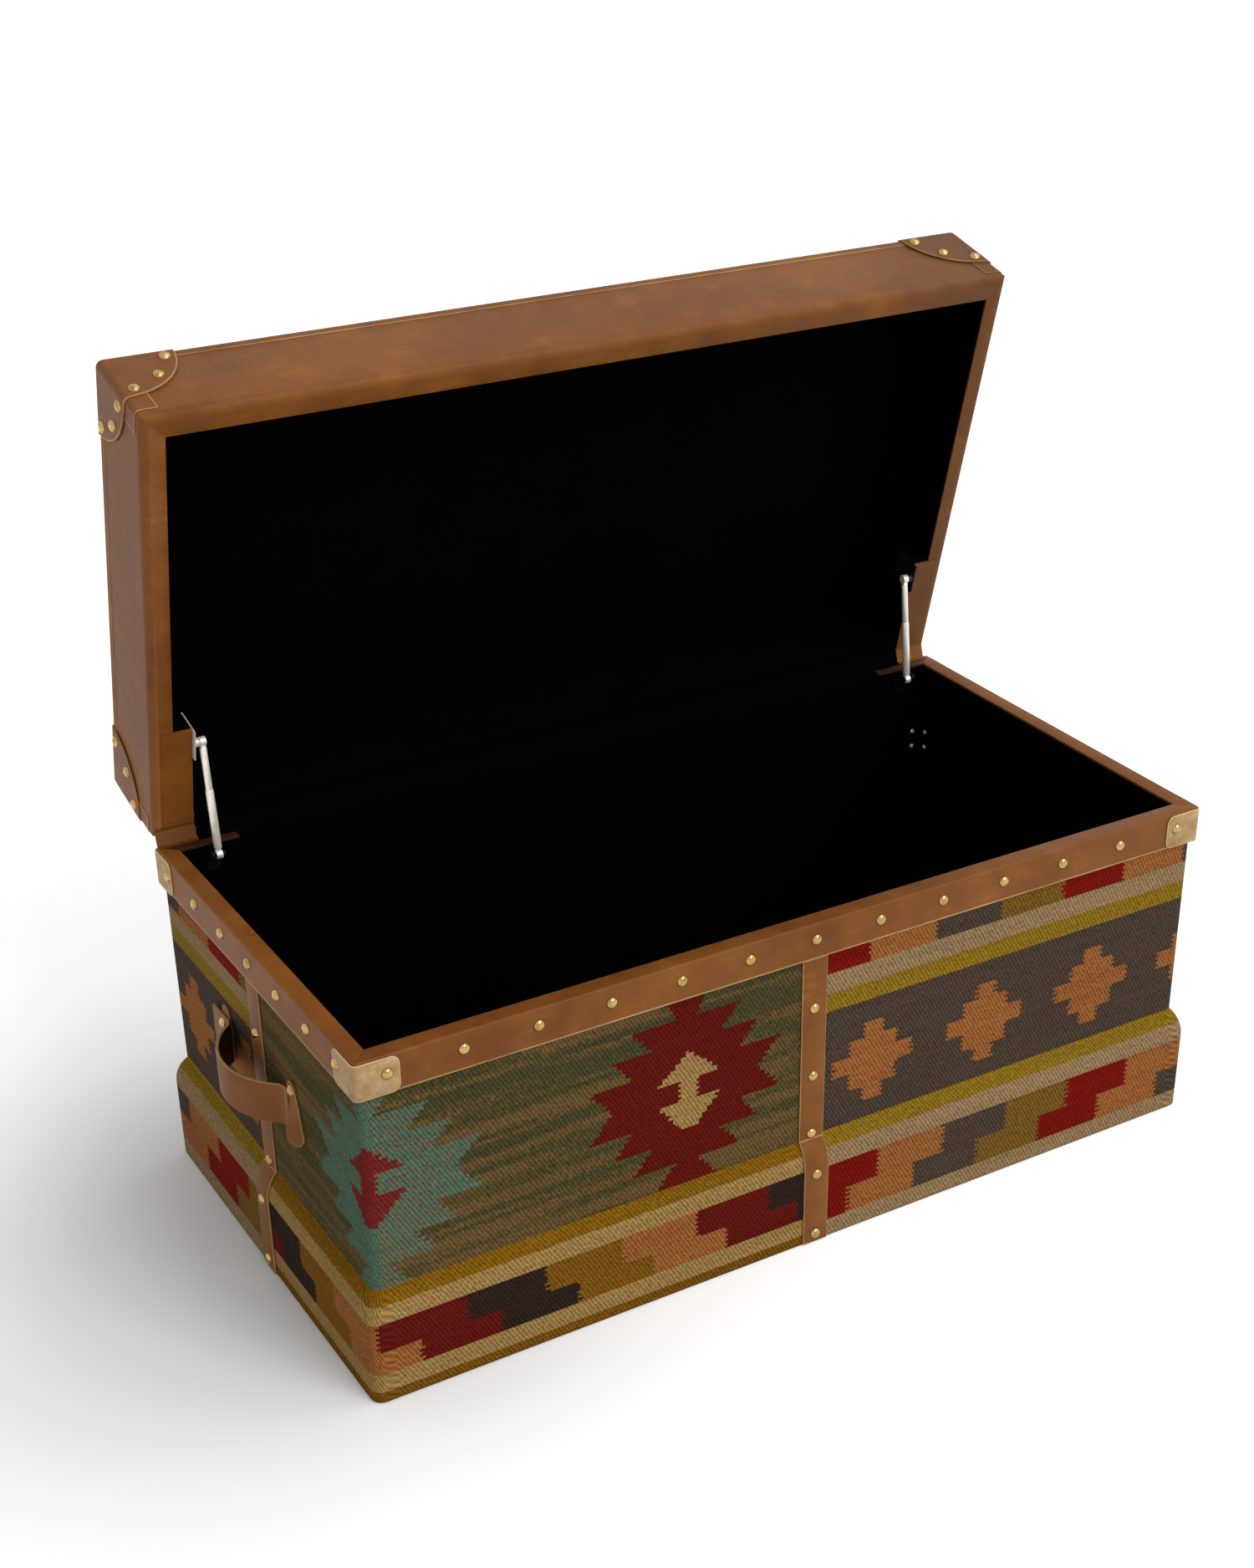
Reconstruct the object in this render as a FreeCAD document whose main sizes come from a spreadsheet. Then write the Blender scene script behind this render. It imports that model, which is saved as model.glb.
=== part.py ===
import FreeCAD, Part
import math
import os
import Sketcher

# Lift-lid storage trunk in kilim cloth and leather.
# The origin is the centre of the underside, +X runs to the right, +Y to the back, +Z up.
# The lid pieces are drawn closed and then turned open about the hinge line.

# Driving dimensions in millimetres and degrees
driving = {
    # Overall box, measured over the leather rim
    "box_width": 1000,
    "box_depth": 500,
    "box_height": 382,
    # Wooden carcass
    "board_thick": 14,
    "base_thick": 12,
    "corner_round": 8,
    "layer_gap": 0.2,
    "lining_thick": 0.8,
    # Kilim cover
    "cloth_thick": 2,
    "cloth_tuck": 20,
    "cloth_join_gap": 0.6,
    "hem_lift": 1,
    # Plinth moulding round the foot
    "plinth_thick": 12.2,
    "plinth_upright": 94,
    "plinth_round": 42,
    # Leather binding on the rim
    "rim_leather": 2.6,
    "rim_band": 40,
    "rim_width": 20,
    "rim_round": 2,
    "rim_corner_round": 4.5,
    # Pale corner caps on the rim
    "cap_thick": 1.6,
    "cap_reach": 45,
    "cap_round": 9,
    "cap_top_gap": 1.5,
    # Upright straps
    "strap_width": 30,
    "strap_leather": 2,
    # Domed brass studs
    "stud_radius": 6,
    "stud_rise": 3.6,
    "rim_stud_drop": 18,
    "rim_stud_pitch_long": 78,
    "rim_stud_pitch_short": 71,
    "rim_stud_end_long": 32,
    "rim_stud_end_short": 37,
    "strap_stud_high": 284,
    "strap_stud_mid": 203,
    "strap_stud_low": 132.2,
    "strap_stud_plinth": 88,
    "strap_stud_foot": 12,
    # Leather handles on the two ends
    "handle_width": 45,
    "handle_leather": 3.5,
    "handle_span": 136,
    "handle_rise": 37,
    "handle_foot": 30,
    "handle_level": 240,
    "handle_bend": 4,
    "tab_width": 20,
    "tab_height": 67,
    "tab_leather": 2.5,
    "tab_offset": 84,
    "tab_stud_inset": 10,
    "tab_stud_pitch": 17,
    # Lid
    "lid_height": 110,
    "lid_gap": 1.5,
    "lid_wall": 25,
    "lid_leather": 2,
    "lid_step": 0.8,
    "lid_corner_round": 5.2,
    "lid_edge_round": 10,
    "lid_top_round": 5,
    "lid_seam": 12,
    "lid_top_thick": 12,
    "open_angle": 76,
    # Leather patches on the lid corners
    "patch_radius": 75,
    "patch_thick": 1.6,
    "strip_reach": 22,
    "strip_thick": 0.6,
    "strip_low": 12,
    "strip_tuck": 12,
    # Blocks in the lid that carry the stays
    "block_width": 20,
    "block_reach": 135,
    # Black cloth flaps over the hinge side
    "flap_inset": 66,
    "flap_lap": 14,
    "flap_tail": 14,
    "flap_thick": 0.5,
    # Butt hinges
    "hinge_back": 5,
    "hinge_length": 60,
    "hinge_drop": 28,
    "hinge_leaf": 2,
    "knuckle_radius": 4.5,
    "hinge_pin_radius": 2.2,
    "hinge_pin_gap": 0.05,
    "knuckle_gap": 0.4,
    "hinge_outer": 273,
    "screw_radius": 3,
    "screw_rise": 0.8,
    "screw_pitch": 40,
    # Telescopic stays
    "stay_inset": 56,
    "stay_low_in": 16,
    "stay_low_drop": 7,
    "stay_high_reach": 116,
    "tube_radius": 5.5,
    "tube_start": 7,
    "tube_end": 72,
    "tube_floor": 4,
    "rod_radius": 4,
    "rod_fit_gap": 0.05,
    "rod_start": 57.5,
    "eye_radius": 5,
    "eye_width": 7,
    "eye_neck": 2.6,
    "stay_pin_radius": 2.5,
    "stay_pin_head": 4,
    "stay_plate": 1.5,
    "stay_lug": 2,
    "stay_side_gap": 1,
    "stay_boss_gap": 0.3,
    "bracket_width": 16,
    "bracket_height": 30,
    "bracket_long": 36,
    "bracket_proud": 6,
    # Steel angles in the inside corners
    "brace_arm": 20,
    "brace_height": 36,
    "brace_plate": 1.2,
    "brace_drop": 80,
    "brace_screw_inset": 8,
    # Length that construction solids run past what they cut
    "overrun": 20,
}

doc = FreeCAD.newDocument("kilim_trunk")
sheet = doc.addObject("Spreadsheet::Sheet", "dims")


class Size:
    # A length that knows its number and the cell formula that gives it

    def __init__(self, value, text):
        self.value = value
        self.text = text

    def join(self, other, sign, value):
        return Size(value, "(%s %s %s)" % (self.text, sign, other.text))

    def __add__(self, other):
        other = as_size(other)
        return self.join(other, "+", self.value + other.value)

    def __sub__(self, other):
        other = as_size(other)
        return self.join(other, "-", self.value - other.value)

    def __mul__(self, other):
        other = as_size(other)
        return self.join(other, "*", self.value * other.value)

    def __truediv__(self, other):
        other = as_size(other)
        return self.join(other, "/", self.value / other.value)

    def __neg__(self):
        return zero - self

    def root(self):
        return Size(math.sqrt(self.value), "sqrt(%s)" % self.text)

    def cosine(self):
        return Size(math.cos(math.radians(self.value)), "cos(%s)" % self.text)

    def sine(self):
        return Size(math.sin(math.radians(self.value)), "sin(%s)" % self.text)


def as_size(number):
    if isinstance(number, Size):
        return number
    return Size(float(number), repr(number))


class Sheet:
    # The driving cells, each reached by its name
    pass


zero = as_size(0)
d = Sheet()
for row, (name, number) in enumerate(driving.items(), start=1):
    sheet.set("A%d" % row, name)
    sheet.set("B%d" % row, str(number))
    sheet.setAlias("B%d" % row, name)
    setattr(d, name, Size(float(number), "dims." + name))
doc.recompute()

nodes = {}


# Drawing helpers

def plane_of(body, name):
    for feature in body.Origin.OriginFeatures:
        if feature.Role == name + "_Plane":
            return feature


def attach(feature, body, plane, offset):
    feature.AttachmentSupport = [(plane_of(body, plane), "")]
    feature.MapMode = "FlatFace"
    for axis, length in zip("xyz", offset):
        feature.setExpression("AttachmentOffset.Base." + axis, as_size(length).text)
    start = [as_size(length).value for length in offset]
    feature.AttachmentOffset = FreeCAD.Placement(FreeCAD.Vector(*start), FreeCAD.Rotation())


def bind(feature, **lengths):
    for name, length in lengths.items():
        setattr(feature, name, length.value)
        feature.setExpression(name, length.text)


def new_body(label):
    return doc.addObject("PartDesign::Body", label)


def sketch_on(body, name, plane, offset):
    sketch = body.newObject("Sketcher::SketchObject", name)
    attach(sketch, body, plane, (0, 0, offset))
    return sketch


def arc_between(start, end, centre, turn):
    radius = math.hypot(start[0] - centre[0], start[1] - centre[1])
    circle = Part.Circle(FreeCAD.Vector(centre[0], centre[1], 0), FreeCAD.Vector(0, 0, 1), radius)
    first, last = (start, end) if turn > 0 else (end, start)
    angles = [math.atan2(point[1] - centre[1], point[0] - centre[0]) for point in (first, last)]
    return Part.ArcOfCircle(circle, angles[0], angles[1])


def outline(sketch, points, arcs):
    # A closed outline: points are pairs of sizes, arcs maps an edge to its centre, radius and turn
    points = [(as_size(u), as_size(v)) for u, v in points]
    spots = [(u.value, v.value) for u, v in points]
    count = len(points)
    starts = []
    ends = []
    for i in range(count):
        here = spots[i]
        there = spots[(i + 1) % count]
        if i in arcs:
            centre, radius, turn = arcs[i]
            middle = tuple(as_size(length).value for length in centre)
            sketch.addGeometry(arc_between(here, there, middle, turn), False)
            starts.append(1 if turn > 0 else 2)
            ends.append(2 if turn > 0 else 1)
        else:
            flat = [FreeCAD.Vector(spot[0], spot[1], 0) for spot in (here, there)]
            sketch.addGeometry(Part.LineSegment(flat[0], flat[1]), False)
            starts.append(1)
            ends.append(2)
    for i in range(count):
        after = (i + 1) % count
        sketch.addConstraint(Sketcher.Constraint("Coincident", i, ends[i], after, starts[after]))
    for i, (u, v) in enumerate(points):
        for kind, length in (("DistanceX", u), ("DistanceY", v)):
            rule = Sketcher.Constraint(kind, -1, 1, i, starts[i], length.value)
            index = sketch.addConstraint(rule)
            sketch.setExpression("Constraints[%d]" % index, length.text)
    for i, (centre, radius, turn) in arcs.items():
        index = sketch.addConstraint(Sketcher.Constraint("Radius", i, radius.value))
        sketch.setExpression("Constraints[%d]" % index, radius.text)


def padded(label, plane, points, arcs, start, length):
    # A profile on a base plane, drawn out along the plane's normal
    body = new_body(label)
    sketch = sketch_on(body, label + "_profile", plane, start)
    outline(sketch, points, arcs)
    pad = body.newObject("PartDesign::Pad", label + "_pad")
    pad.Profile = sketch
    bind(pad, Length=length)
    return body


def add_box(body, name, low, high, kind="Additive"):
    box = body.newObject("PartDesign::%sBox" % kind, name)
    attach(box, body, "XY", low)
    span = [as_size(b) - as_size(a) for a, b in zip(low, high)]
    bind(box, Length=span[0], Width=span[1], Height=span[2])
    return box


def add_rod(body, name, plane, start, radius, length, kind="Additive"):
    # A round bar whose start is given in the plane's own right, up and outward directions
    rod = body.newObject("PartDesign::%sCylinder" % kind, name)
    attach(rod, body, plane, start)
    bind(rod, Radius=radius, Height=length)
    return rod


def slab(label, low, high):
    body = new_body(label)
    add_box(body, label + "_block", low, high)
    return body


def round_rectangle(half_x, half_y, radius):
    # Corner points and quarter arcs of a rectangle with round corners, from the middle of the front
    inner_x = half_x - radius
    inner_y = half_y - radius
    points = [
        (zero, -half_y), (inner_x, -half_y), (half_x, -inner_y), (half_x, inner_y), (inner_x, half_y),
        (-inner_x, half_y), (-half_x, inner_y), (-half_x, -inner_y), (-inner_x, -half_y),
    ]
    arcs = {
        1: ((inner_x, -inner_y), radius, 1),
        3: ((inner_x, inner_y), radius, 1),
        5: ((-inner_x, inner_y), radius, 1),
        7: ((-inner_x, -inner_y), radius, 1),
    }
    return points, arcs


bevel_share = 2 - math.sqrt(2)


def rounded_block(label, half_x, half_y, radius, low, height, edge, rounded="top", hidden=False):
    # A block with round upright corners and a round top or bottom edge
    # A hidden edge has the bevel that touches the round one in its middle
    points, arcs = round_rectangle(half_x, half_y, radius)
    body = padded(label, "XY", points, arcs, low, height)
    doc.recompute()
    level = low.value + height.value if rounded == "top" else low.value
    pad = body.Tip
    rim = []
    for i, line in enumerate(pad.Shape.Edges, start=1):
        if all(abs(vertex.Z - level) < d.layer_gap.value for vertex in line.Vertexes):
            rim.append("Edge%d" % i)
    eased = body.newObject("PartDesign::Chamfer" if hidden else "PartDesign::Fillet", label + "_edge")
    eased.Base = (pad, rim)
    if hidden:
        bind(eased, Size=edge * bevel_share)
    else:
        bind(eased, Radius=edge)
    return body


def mitred_block(label, half_x, half_y, radius, low, high, edge, hidden=False):
    # A block whose bottom edges are rounded along each side and meet in mitres at the upright corners
    ease = edge * bevel_share if hidden else edge
    bars = []
    for name, plane, half, reach in (("sides", "YZ", half_y, far_x), ("ends", "XZ", half_x, far_y)):
        points = [
            (-half, high), (-half, low + ease), (ease - half, low),
            (half - ease, low), (half, low + ease), (half, high),
        ]
        arcs = {}
        if not hidden:
            arcs = {1: ((ease - half, low + ease), edge, 1), 3: ((half - ease, low + ease), edge, 1)}
        bars.append(padded("%s_%s" % (label, name), plane, points, arcs, -reach, reach * 2))
    points, arcs = round_rectangle(half_x, half_y, radius)
    column = padded(label + "_column", "XY", points, arcs, low, high - low)
    return combine("Common", label, combine("Common", label + "_bars", *bars), column)


def ring(label, half_x, half_y, radius, points, arcs):
    # A profile swept once round the box, starting at the middle of the front
    body = new_body(label)
    path = sketch_on(body, label + "_path", "XY", zero)
    outline(path, *round_rectangle(half_x, half_y, radius))
    profile = sketch_on(body, label + "_profile", "YZ", zero)
    outline(profile, points, arcs)
    doc.recompute()
    pipe = body.newObject("PartDesign::AdditivePipe", label + "_sweep")
    pipe.Profile = profile
    pipe.Spine = (path, ["Edge%d" % (i + 1) for i in range(len(path.Geometry))])
    return body


def combine(kind, label, base, tool):
    result = doc.addObject("Part::" + kind, label)
    result.Base = base
    result.Tool = tool
    return result


def group(label, members):
    result = doc.addObject("Part::Compound", label)
    result.Links = members
    return result


def spot(x, y, z):
    return FreeCAD.Vector(*[as_size(length).value for length in (x, y, z)])


head_sides = 8
stud_ring_shares = ((1, 0), (0.5, 1))
screw_ring_shares = ((1, 0), (0.78, 1))


def domes(label, places, radius, rise, ring_shares):
    # Facetted round heads, each seated by its flat underside: places are points with outward directions
    heads = []
    for point, out in places:
        turn = FreeCAD.Rotation(FreeCAD.Vector(0, 0, 1), FreeCAD.Vector(*out))
        rings = []
        for radius_share, rise_share in ring_shares:
            corners = []
            for i in range(head_sides):
                angle = 2 * math.pi * (i + 0.5) / head_sides
                across = radius.value * radius_share
                corner = (across * math.cos(angle), across * math.sin(angle), rise.value * rise_share)
                corners.append(point + turn.multVec(FreeCAD.Vector(*corner)))
            rings.append(Part.makePolygon(corners + corners[:1]))
        heads.append(Part.makeLoft(rings, True, True))
    result = doc.addObject("Part::Feature", label)
    result.Shape = Part.makeCompound(heads)
    return result


# Levels and faces that several pieces share

half_width = d.box_width / 2
half_depth = d.box_depth / 2
cloth_face = d.rim_leather + d.layer_gap
board_face = cloth_face + d.cloth_thick + d.layer_gap
board_x = half_width - board_face
board_y = half_depth - board_face
inner_x = board_x - d.board_thick
inner_y = board_y - d.board_thick
board_top = d.box_height - d.rim_leather - d.layer_gap
hollow_x = half_width - d.rim_width
hollow_y = half_depth - d.rim_width
rim_plane = d.box_height + d.lid_gap
lid_top = rim_plane + d.lid_height
hinge_y = half_depth + d.hinge_back
hinge_z = d.box_height
plinth_y = board_y + d.layer_gap + d.plinth_thick
plinth_centre = plinth_y - d.plinth_round


def shoulder(face, radius):
    # Height at which a round shoulder layer meets an upright face
    run = face - plinth_centre
    return d.plinth_upright + (radius * radius - run * run).root()


# Cutting shapes that part the rings at mitres and at the kilim joins

far_x = half_width + d.overrun * 2
far_y = half_depth + d.overrun * 2
full_height = lid_top + d.overrun
ridge = half_width - half_depth
mitre_outlines = {
    "front": [(-far_x, -far_y), (far_x, -far_y), (ridge, zero), (-ridge, zero)],
    "back": [(far_x, far_y), (-far_x, far_y), (-ridge, zero), (ridge, zero)],
    "left": [(-far_x, far_y), (-far_x, -far_y), (-ridge, zero)],
    "right": [(far_x, -far_y), (far_x, far_y), (ridge, zero)],
}
mitres = {}
for side, corners in mitre_outlines.items():
    mitres[side] = padded("mitre_" + side, "XY", corners, {}, -d.overrun, full_height + d.overrun)

quarters = {}
seam = d.cloth_join_gap / 2
for side, sign_x, sign_y in (
    ("front_left", -1, -1), ("front_right", 1, -1), ("back_left", -1, 1), ("back_right", 1, 1),
):
    low_x, high_x = (seam, far_x) if sign_x > 0 else (-far_x, -seam)
    low_y, high_y = (seam, far_y) if sign_y > 0 else (-far_y, -seam)
    low = (low_x, low_y, -d.overrun)
    quarters[side] = slab("quarter_" + side, low, (high_x, high_y, full_height))


def mitred(label, whole):
    # The four sides of a ring as separate pieces, in the order of the mitres
    for side, tool in mitres.items():
        name = label % side
        nodes[name] = combine("Common", name, whole, tool)


# Carcass boards: front and back run the full width with round outer corners

def face_board(label, sign):
    round_x = board_x - d.corner_round
    round_y = (board_y - d.corner_round) * sign
    outer_y = board_y * sign
    near_y = inner_y * sign
    points = [
        (-board_x, near_y), (-board_x, round_y), (-round_x, outer_y),
        (round_x, outer_y), (board_x, round_y), (board_x, near_y),
    ]
    arcs = {
        1: ((-round_x, round_y), d.corner_round, -sign),
        3: ((round_x, round_y), d.corner_round, -sign),
    }
    nodes[label] = padded(label, "XY", points, arcs, zero, board_top)


face_board("front_board", -1)
face_board("back_board", 1)
nodes["left_board"] = slab("left_board", (-board_x, -inner_y, zero), (-inner_x, inner_y, board_top))
nodes["right_board"] = slab("right_board", (inner_x, -inner_y, zero), (board_x, inner_y, board_top))
nodes["base_board"] = slab("base_board", (-inner_x, -inner_y, zero), (inner_x, inner_y, d.base_thick))

# Plinth moulding: an upright foot with a round shoulder that dies into the wall

plinth_in = board_y + d.layer_gap
plinth_points = [
    (-plinth_in, zero), (-plinth_in, shoulder(plinth_in, d.plinth_round)),
    (-plinth_y, d.plinth_upright), (-plinth_y, zero),
]
plinth_arcs = {1: ((-plinth_centre, d.plinth_upright), d.plinth_round, 1)}
plinth = ring("plinth", board_x, board_y, d.corner_round, plinth_points, plinth_arcs)
mitred("plinth_%s", plinth)


# Layers that lie on the wall and follow the shoulder down to the foot

def wall_layer(face, radius, thick, bottom, top):
    # Section of a layer: face is its inner side on the wall, radius its inner side on the shoulder
    out = face + thick
    far = radius + thick
    foot = plinth_centre + radius
    points = [
        (-foot, bottom), (-foot, d.plinth_upright), (-face, shoulder(face, radius)), (-face, top),
        (-out, top), (-out, shoulder(out, far)), (-(foot + thick), d.plinth_upright),
        (-(foot + thick), bottom),
    ]
    centre = (-plinth_centre, d.plinth_upright)
    arcs = {1: (centre, radius, -1), 5: (centre, far, 1)}
    return points, arcs


cloth_in = board_y + d.layer_gap
cloth_top = d.box_height - d.cloth_tuck
cloth_radius = d.plinth_round + d.layer_gap
cloth_section = wall_layer(cloth_in, cloth_radius, d.cloth_thick, d.hem_lift, cloth_top)
kilim = ring("kilim", board_x, board_y, d.corner_round, *cloth_section)
for side, tool in quarters.items():
    nodes["kilim_" + side] = combine("Common", "kilim_" + side, kilim, tool)

# Leather rim: a skirt over the top of the cloth and a cap over the board edges

skirt_in = half_depth - d.rim_leather
skirt_low = d.box_height - d.rim_band
rim_corner = d.rim_corner_round
rim_outer = rounded_block(
    "rim_outer", half_width, half_depth, rim_corner, skirt_low, d.rim_band, d.rim_round, "top", True,
)
skirt_x = half_width - d.rim_leather
under_points, under_arcs = round_rectangle(skirt_x, skirt_in, rim_corner - d.rim_leather)
under_low = skirt_low - d.overrun
under_height = d.rim_band + d.overrun - d.rim_leather
rim_under = padded("rim_under", "XY", under_points, under_arcs, under_low, under_height)
rim_shell = combine("Cut", "rim_shell", rim_outer, rim_under)
rim_hollow = slab("rim_hollow", (-hollow_x, -hollow_y, zero), (hollow_x, hollow_y, full_height))
mitred("rim_%s", combine("Cut", "rim", rim_shell, rim_hollow))

# Pale leather caps folded round the rim corners

cap_low = skirt_low
cap_high = d.box_height - d.cap_top_gap
cap_in = half_depth + d.layer_gap
cap_out = cap_in + d.cap_thick
cap_points = [(-cap_in, cap_low), (-cap_in, cap_high), (-cap_out, cap_high), (-cap_out, cap_low)]
cap_ring = ring("cap", half_width, half_depth, rim_corner, cap_points, {})


def corner_boxes(label, reach_x, reach_y, low, high):
    # Four blocks that stand on the corners of the plan
    blocks = []
    for name, sign_x, sign_y in (("fl", -1, -1), ("fr", 1, -1), ("bl", -1, 1), ("br", 1, 1)):
        low_x, high_x = (reach_x, far_x) if sign_x > 0 else (-far_x, -reach_x)
        low_y, high_y = (reach_y, far_y) if sign_y > 0 else (-far_y, -reach_y)
        blocks.append(slab("%s_%s" % (label, name), (low_x, low_y, low), (high_x, high_y, high)))
    return group(label, blocks)


cap_blocks = corner_boxes(
    "cap_corners", half_width - d.cap_reach, half_depth - d.cap_reach, zero, full_height
)
cap_blanks = combine("Common", "cap_blanks", cap_ring, cap_blocks)
doc.recompute()
caps = doc.addObject("Part::Fillet", "rim_caps")
caps.Base = cap_blanks
short_edges = []
for i, line in enumerate(cap_blanks.Shape.Edges, start=1):
    if abs(line.Length - d.cap_thick.value) < d.layer_gap.value:
        short_edges.append((i, d.cap_round.value, d.cap_round.value))
caps.Edges = short_edges
nodes["rim_caps"] = caps

# Upright straps that cover the joins of the kilim on all four sides

strap_in = half_depth - cloth_face + d.layer_gap
strap_radius = cloth_radius + d.cloth_thick + d.layer_gap
strap_top = skirt_low - d.layer_gap
strap_points, strap_arcs = wall_layer(strap_in, strap_radius, d.strap_leather, d.hem_lift, strap_top)


def strap(label, plane, sign, shift):
    # The section moves out by the difference between the plan's half sizes and turns over by sign
    points = [((u - shift) * sign, v) for u, v in strap_points]
    arcs = {}
    for i, (centre, radius, turn) in strap_arcs.items():
        arcs[i] = (((centre[0] - shift) * sign, centre[1]), radius, turn * sign)
    nodes[label] = padded(label, plane, points, arcs, -d.strap_width / 2, d.strap_width)


side_shift = half_width - half_depth
strap("front_strap", "YZ", 1, zero)
strap("back_strap", "YZ", -1, zero)
strap("left_strap", "XZ", 1, side_shift)
strap("right_strap", "XZ", -1, side_shift)

# Handles: a flat leather bow with a foot at each end, held by an upright tab

bow_half = d.handle_span / 2
bow_radius = (bow_half * bow_half + d.handle_rise * d.handle_rise) / (d.handle_rise * 2)
bow_depth = bow_radius - d.handle_rise
bow_outer = bow_radius + d.handle_leather
bow_lift = bow_depth + d.handle_leather
bow_outer_half = (bow_outer * bow_outer - bow_lift * bow_lift).root()
foot_end = bow_half + d.handle_foot
foot_face = half_width - cloth_face + d.layer_gap


def handle(label, sign):
    inside = foot_face * sign
    outside = (foot_face + d.handle_leather) * sign
    centre = ((foot_face - bow_depth) * sign, zero)
    points = [
        (inside, -foot_end), (inside, -bow_half), (inside, bow_half), (inside, foot_end),
        (outside, foot_end), (outside, bow_outer_half), (outside, -bow_outer_half), (outside, -foot_end),
    ]
    arcs = {1: (centre, bow_radius, sign), 5: (centre, bow_outer, -sign)}
    level = d.handle_level - d.handle_width / 2
    body = padded(label, "XY", points, arcs, level, d.handle_width)
    doc.recompute()
    pad = body.Tip
    bends = []
    for i, line in enumerate(pad.Shape.Edges, start=1):
        ends = line.Vertexes
        upright = abs(ends[0].Z - ends[-1].Z) > d.handle_leather.value
        if upright and abs(ends[0].Y) < foot_end.value - d.handle_leather.value:
            bends.append("Edge%d" % i)
    fillet = body.newObject("PartDesign::Fillet", label + "_bends")
    fillet.Base = (pad, bends)
    bind(fillet, Radius=d.handle_bend)
    nodes[label] = body


handle("handle_left", -1)
handle("handle_right", 1)

tab_face = foot_face + d.handle_leather + d.layer_gap
tab_half = d.tab_width / 2
tab_straight = d.tab_height / 2 - tab_half
tabs = []
for side, sign_x in (("left", -1), ("right", 1)):
    for end, sign_y in (("front", -1), ("back", 1)):
        middle = d.tab_offset * sign_y
        low_z = d.handle_level - tab_straight
        high_z = d.handle_level + tab_straight
        tab_points = [
            (middle - tab_half, low_z), (middle, low_z - tab_half), (middle + tab_half, low_z),
            (middle + tab_half, high_z), (middle, high_z + tab_half), (middle - tab_half, high_z),
        ]
        tab_arcs = {
            0: ((middle, low_z), tab_half, 1),
            1: ((middle, low_z), tab_half, 1),
            3: ((middle, high_z), tab_half, 1),
            4: ((middle, high_z), tab_half, 1),
        }
        start = tab_face if sign_x > 0 else -tab_face - d.tab_leather
        tabs.append(padded("tab_%s_%s" % (side, end), "YZ", tab_points, tab_arcs, start, d.tab_leather))
nodes["handle_tabs"] = group("handle_tabs", tabs)

# Brass studs on the rim, the straps and the handle tabs

cap_edge_x = half_width.value - d.cap_reach.value
cap_edge_y = half_depth.value - d.cap_reach.value
stud_z = d.box_height - d.rim_stud_drop
rim_places = []
stud_end_x = half_width - d.rim_stud_end_long
stud_end_y = half_depth - d.rim_stud_end_short
long_count = round(stud_end_x.value / d.rim_stud_pitch_long.value)
short_count = round(stud_end_y.value / d.rim_stud_pitch_short.value)
for i in range(-long_count, long_count + 1):
    x = stud_end_x * i / long_count
    lift = cap_out if abs(x.value) > cap_edge_x else half_depth
    rim_places.append((spot(x, -lift, stud_z), (0, -1, 0)))
    if i != 0:
        rim_places.append((spot(x, lift, stud_z), (0, 1, 0)))
for i in range(-short_count, short_count + 1):
    y = stud_end_y * i / short_count
    lift = half_width + (cap_out - half_depth if abs(y.value) > cap_edge_y else zero)
    rim_places.append((spot(-lift, y, stud_z), (-1, 0, 0)))
    rim_places.append((spot(lift, y, stud_z), (1, 0, 0)))
nodes["rim_studs"] = domes("rim_studs", rim_places, d.stud_radius, d.stud_rise, stud_ring_shares)

strap_face = strap_in + d.strap_leather
strap_foot = plinth_centre + strap_radius + d.strap_leather
strap_places = []
for level, lift in (
    (d.strap_stud_high, strap_face), (d.strap_stud_mid, strap_face), (d.strap_stud_low, strap_face),
    (d.strap_stud_plinth, strap_foot), (d.strap_stud_foot, strap_foot),
):
    for sign in (-1, 1):
        strap_places.append((spot(zero, lift * sign, level), (0, sign, 0)))
        clear_of_handle = abs(level.value - d.handle_level.value) > d.handle_width.value / 2
        if clear_of_handle:
            strap_places.append((spot((lift + side_shift) * sign, zero, level), (sign, 0, 0)))
nodes["strap_studs"] = domes("strap_studs", strap_places, d.stud_radius, d.stud_rise, stud_ring_shares)

tab_stud_face = tab_face + d.tab_leather
tab_stud_z = d.handle_level + d.tab_height / 2 - d.tab_stud_inset
tab_places = []
for sign in (-1, 1):
    tab_places.append((spot(tab_stud_face * sign, -d.tab_offset, tab_stud_z), (sign, 0, 0)))
    tab_places.append((spot(tab_stud_face * sign, d.tab_offset, tab_stud_z), (sign, 0, 0)))
    lower = tab_stud_z - d.tab_stud_pitch
    tab_places.append((spot(tab_stud_face * sign, d.tab_offset, lower), (sign, 0, 0)))
nodes["handle_studs"] = domes("handle_studs", tab_places, d.stud_radius, d.stud_rise, stud_ring_shares)

# Black lining of the box: floor, walls and a flap folded over the back rim

lining_x = hollow_x + d.lining_thick
lining_y = hollow_y + d.lining_thick
lining_floor = d.base_thick + d.layer_gap
flap_x = hollow_x - d.flap_inset
box_lining = new_body("box_lining")
add_box(box_lining, "lining_walls", (-lining_x, -lining_y, lining_floor), (lining_x, lining_y, board_top))
hollow_low = (-hollow_x, -hollow_y, lining_floor + d.lining_thick)
add_box(box_lining, "lining_hollow", hollow_low, (hollow_x, hollow_y, full_height), "Subtractive")
flap_y = hollow_y - d.flap_thick
flap_high = d.box_height + d.flap_thick
add_box(box_lining, "flap_tail", (-flap_x, flap_y, board_top - d.flap_tail), (flap_x, hollow_y, flap_high))
flap_edge = hollow_y + d.flap_lap
add_box(box_lining, "flap_lap", (-flap_x, flap_y, d.box_height), (flap_x, flap_edge, flap_high))
nodes["box_lining"] = box_lining

# Steel angles with bright screws in the four inside corners

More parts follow.
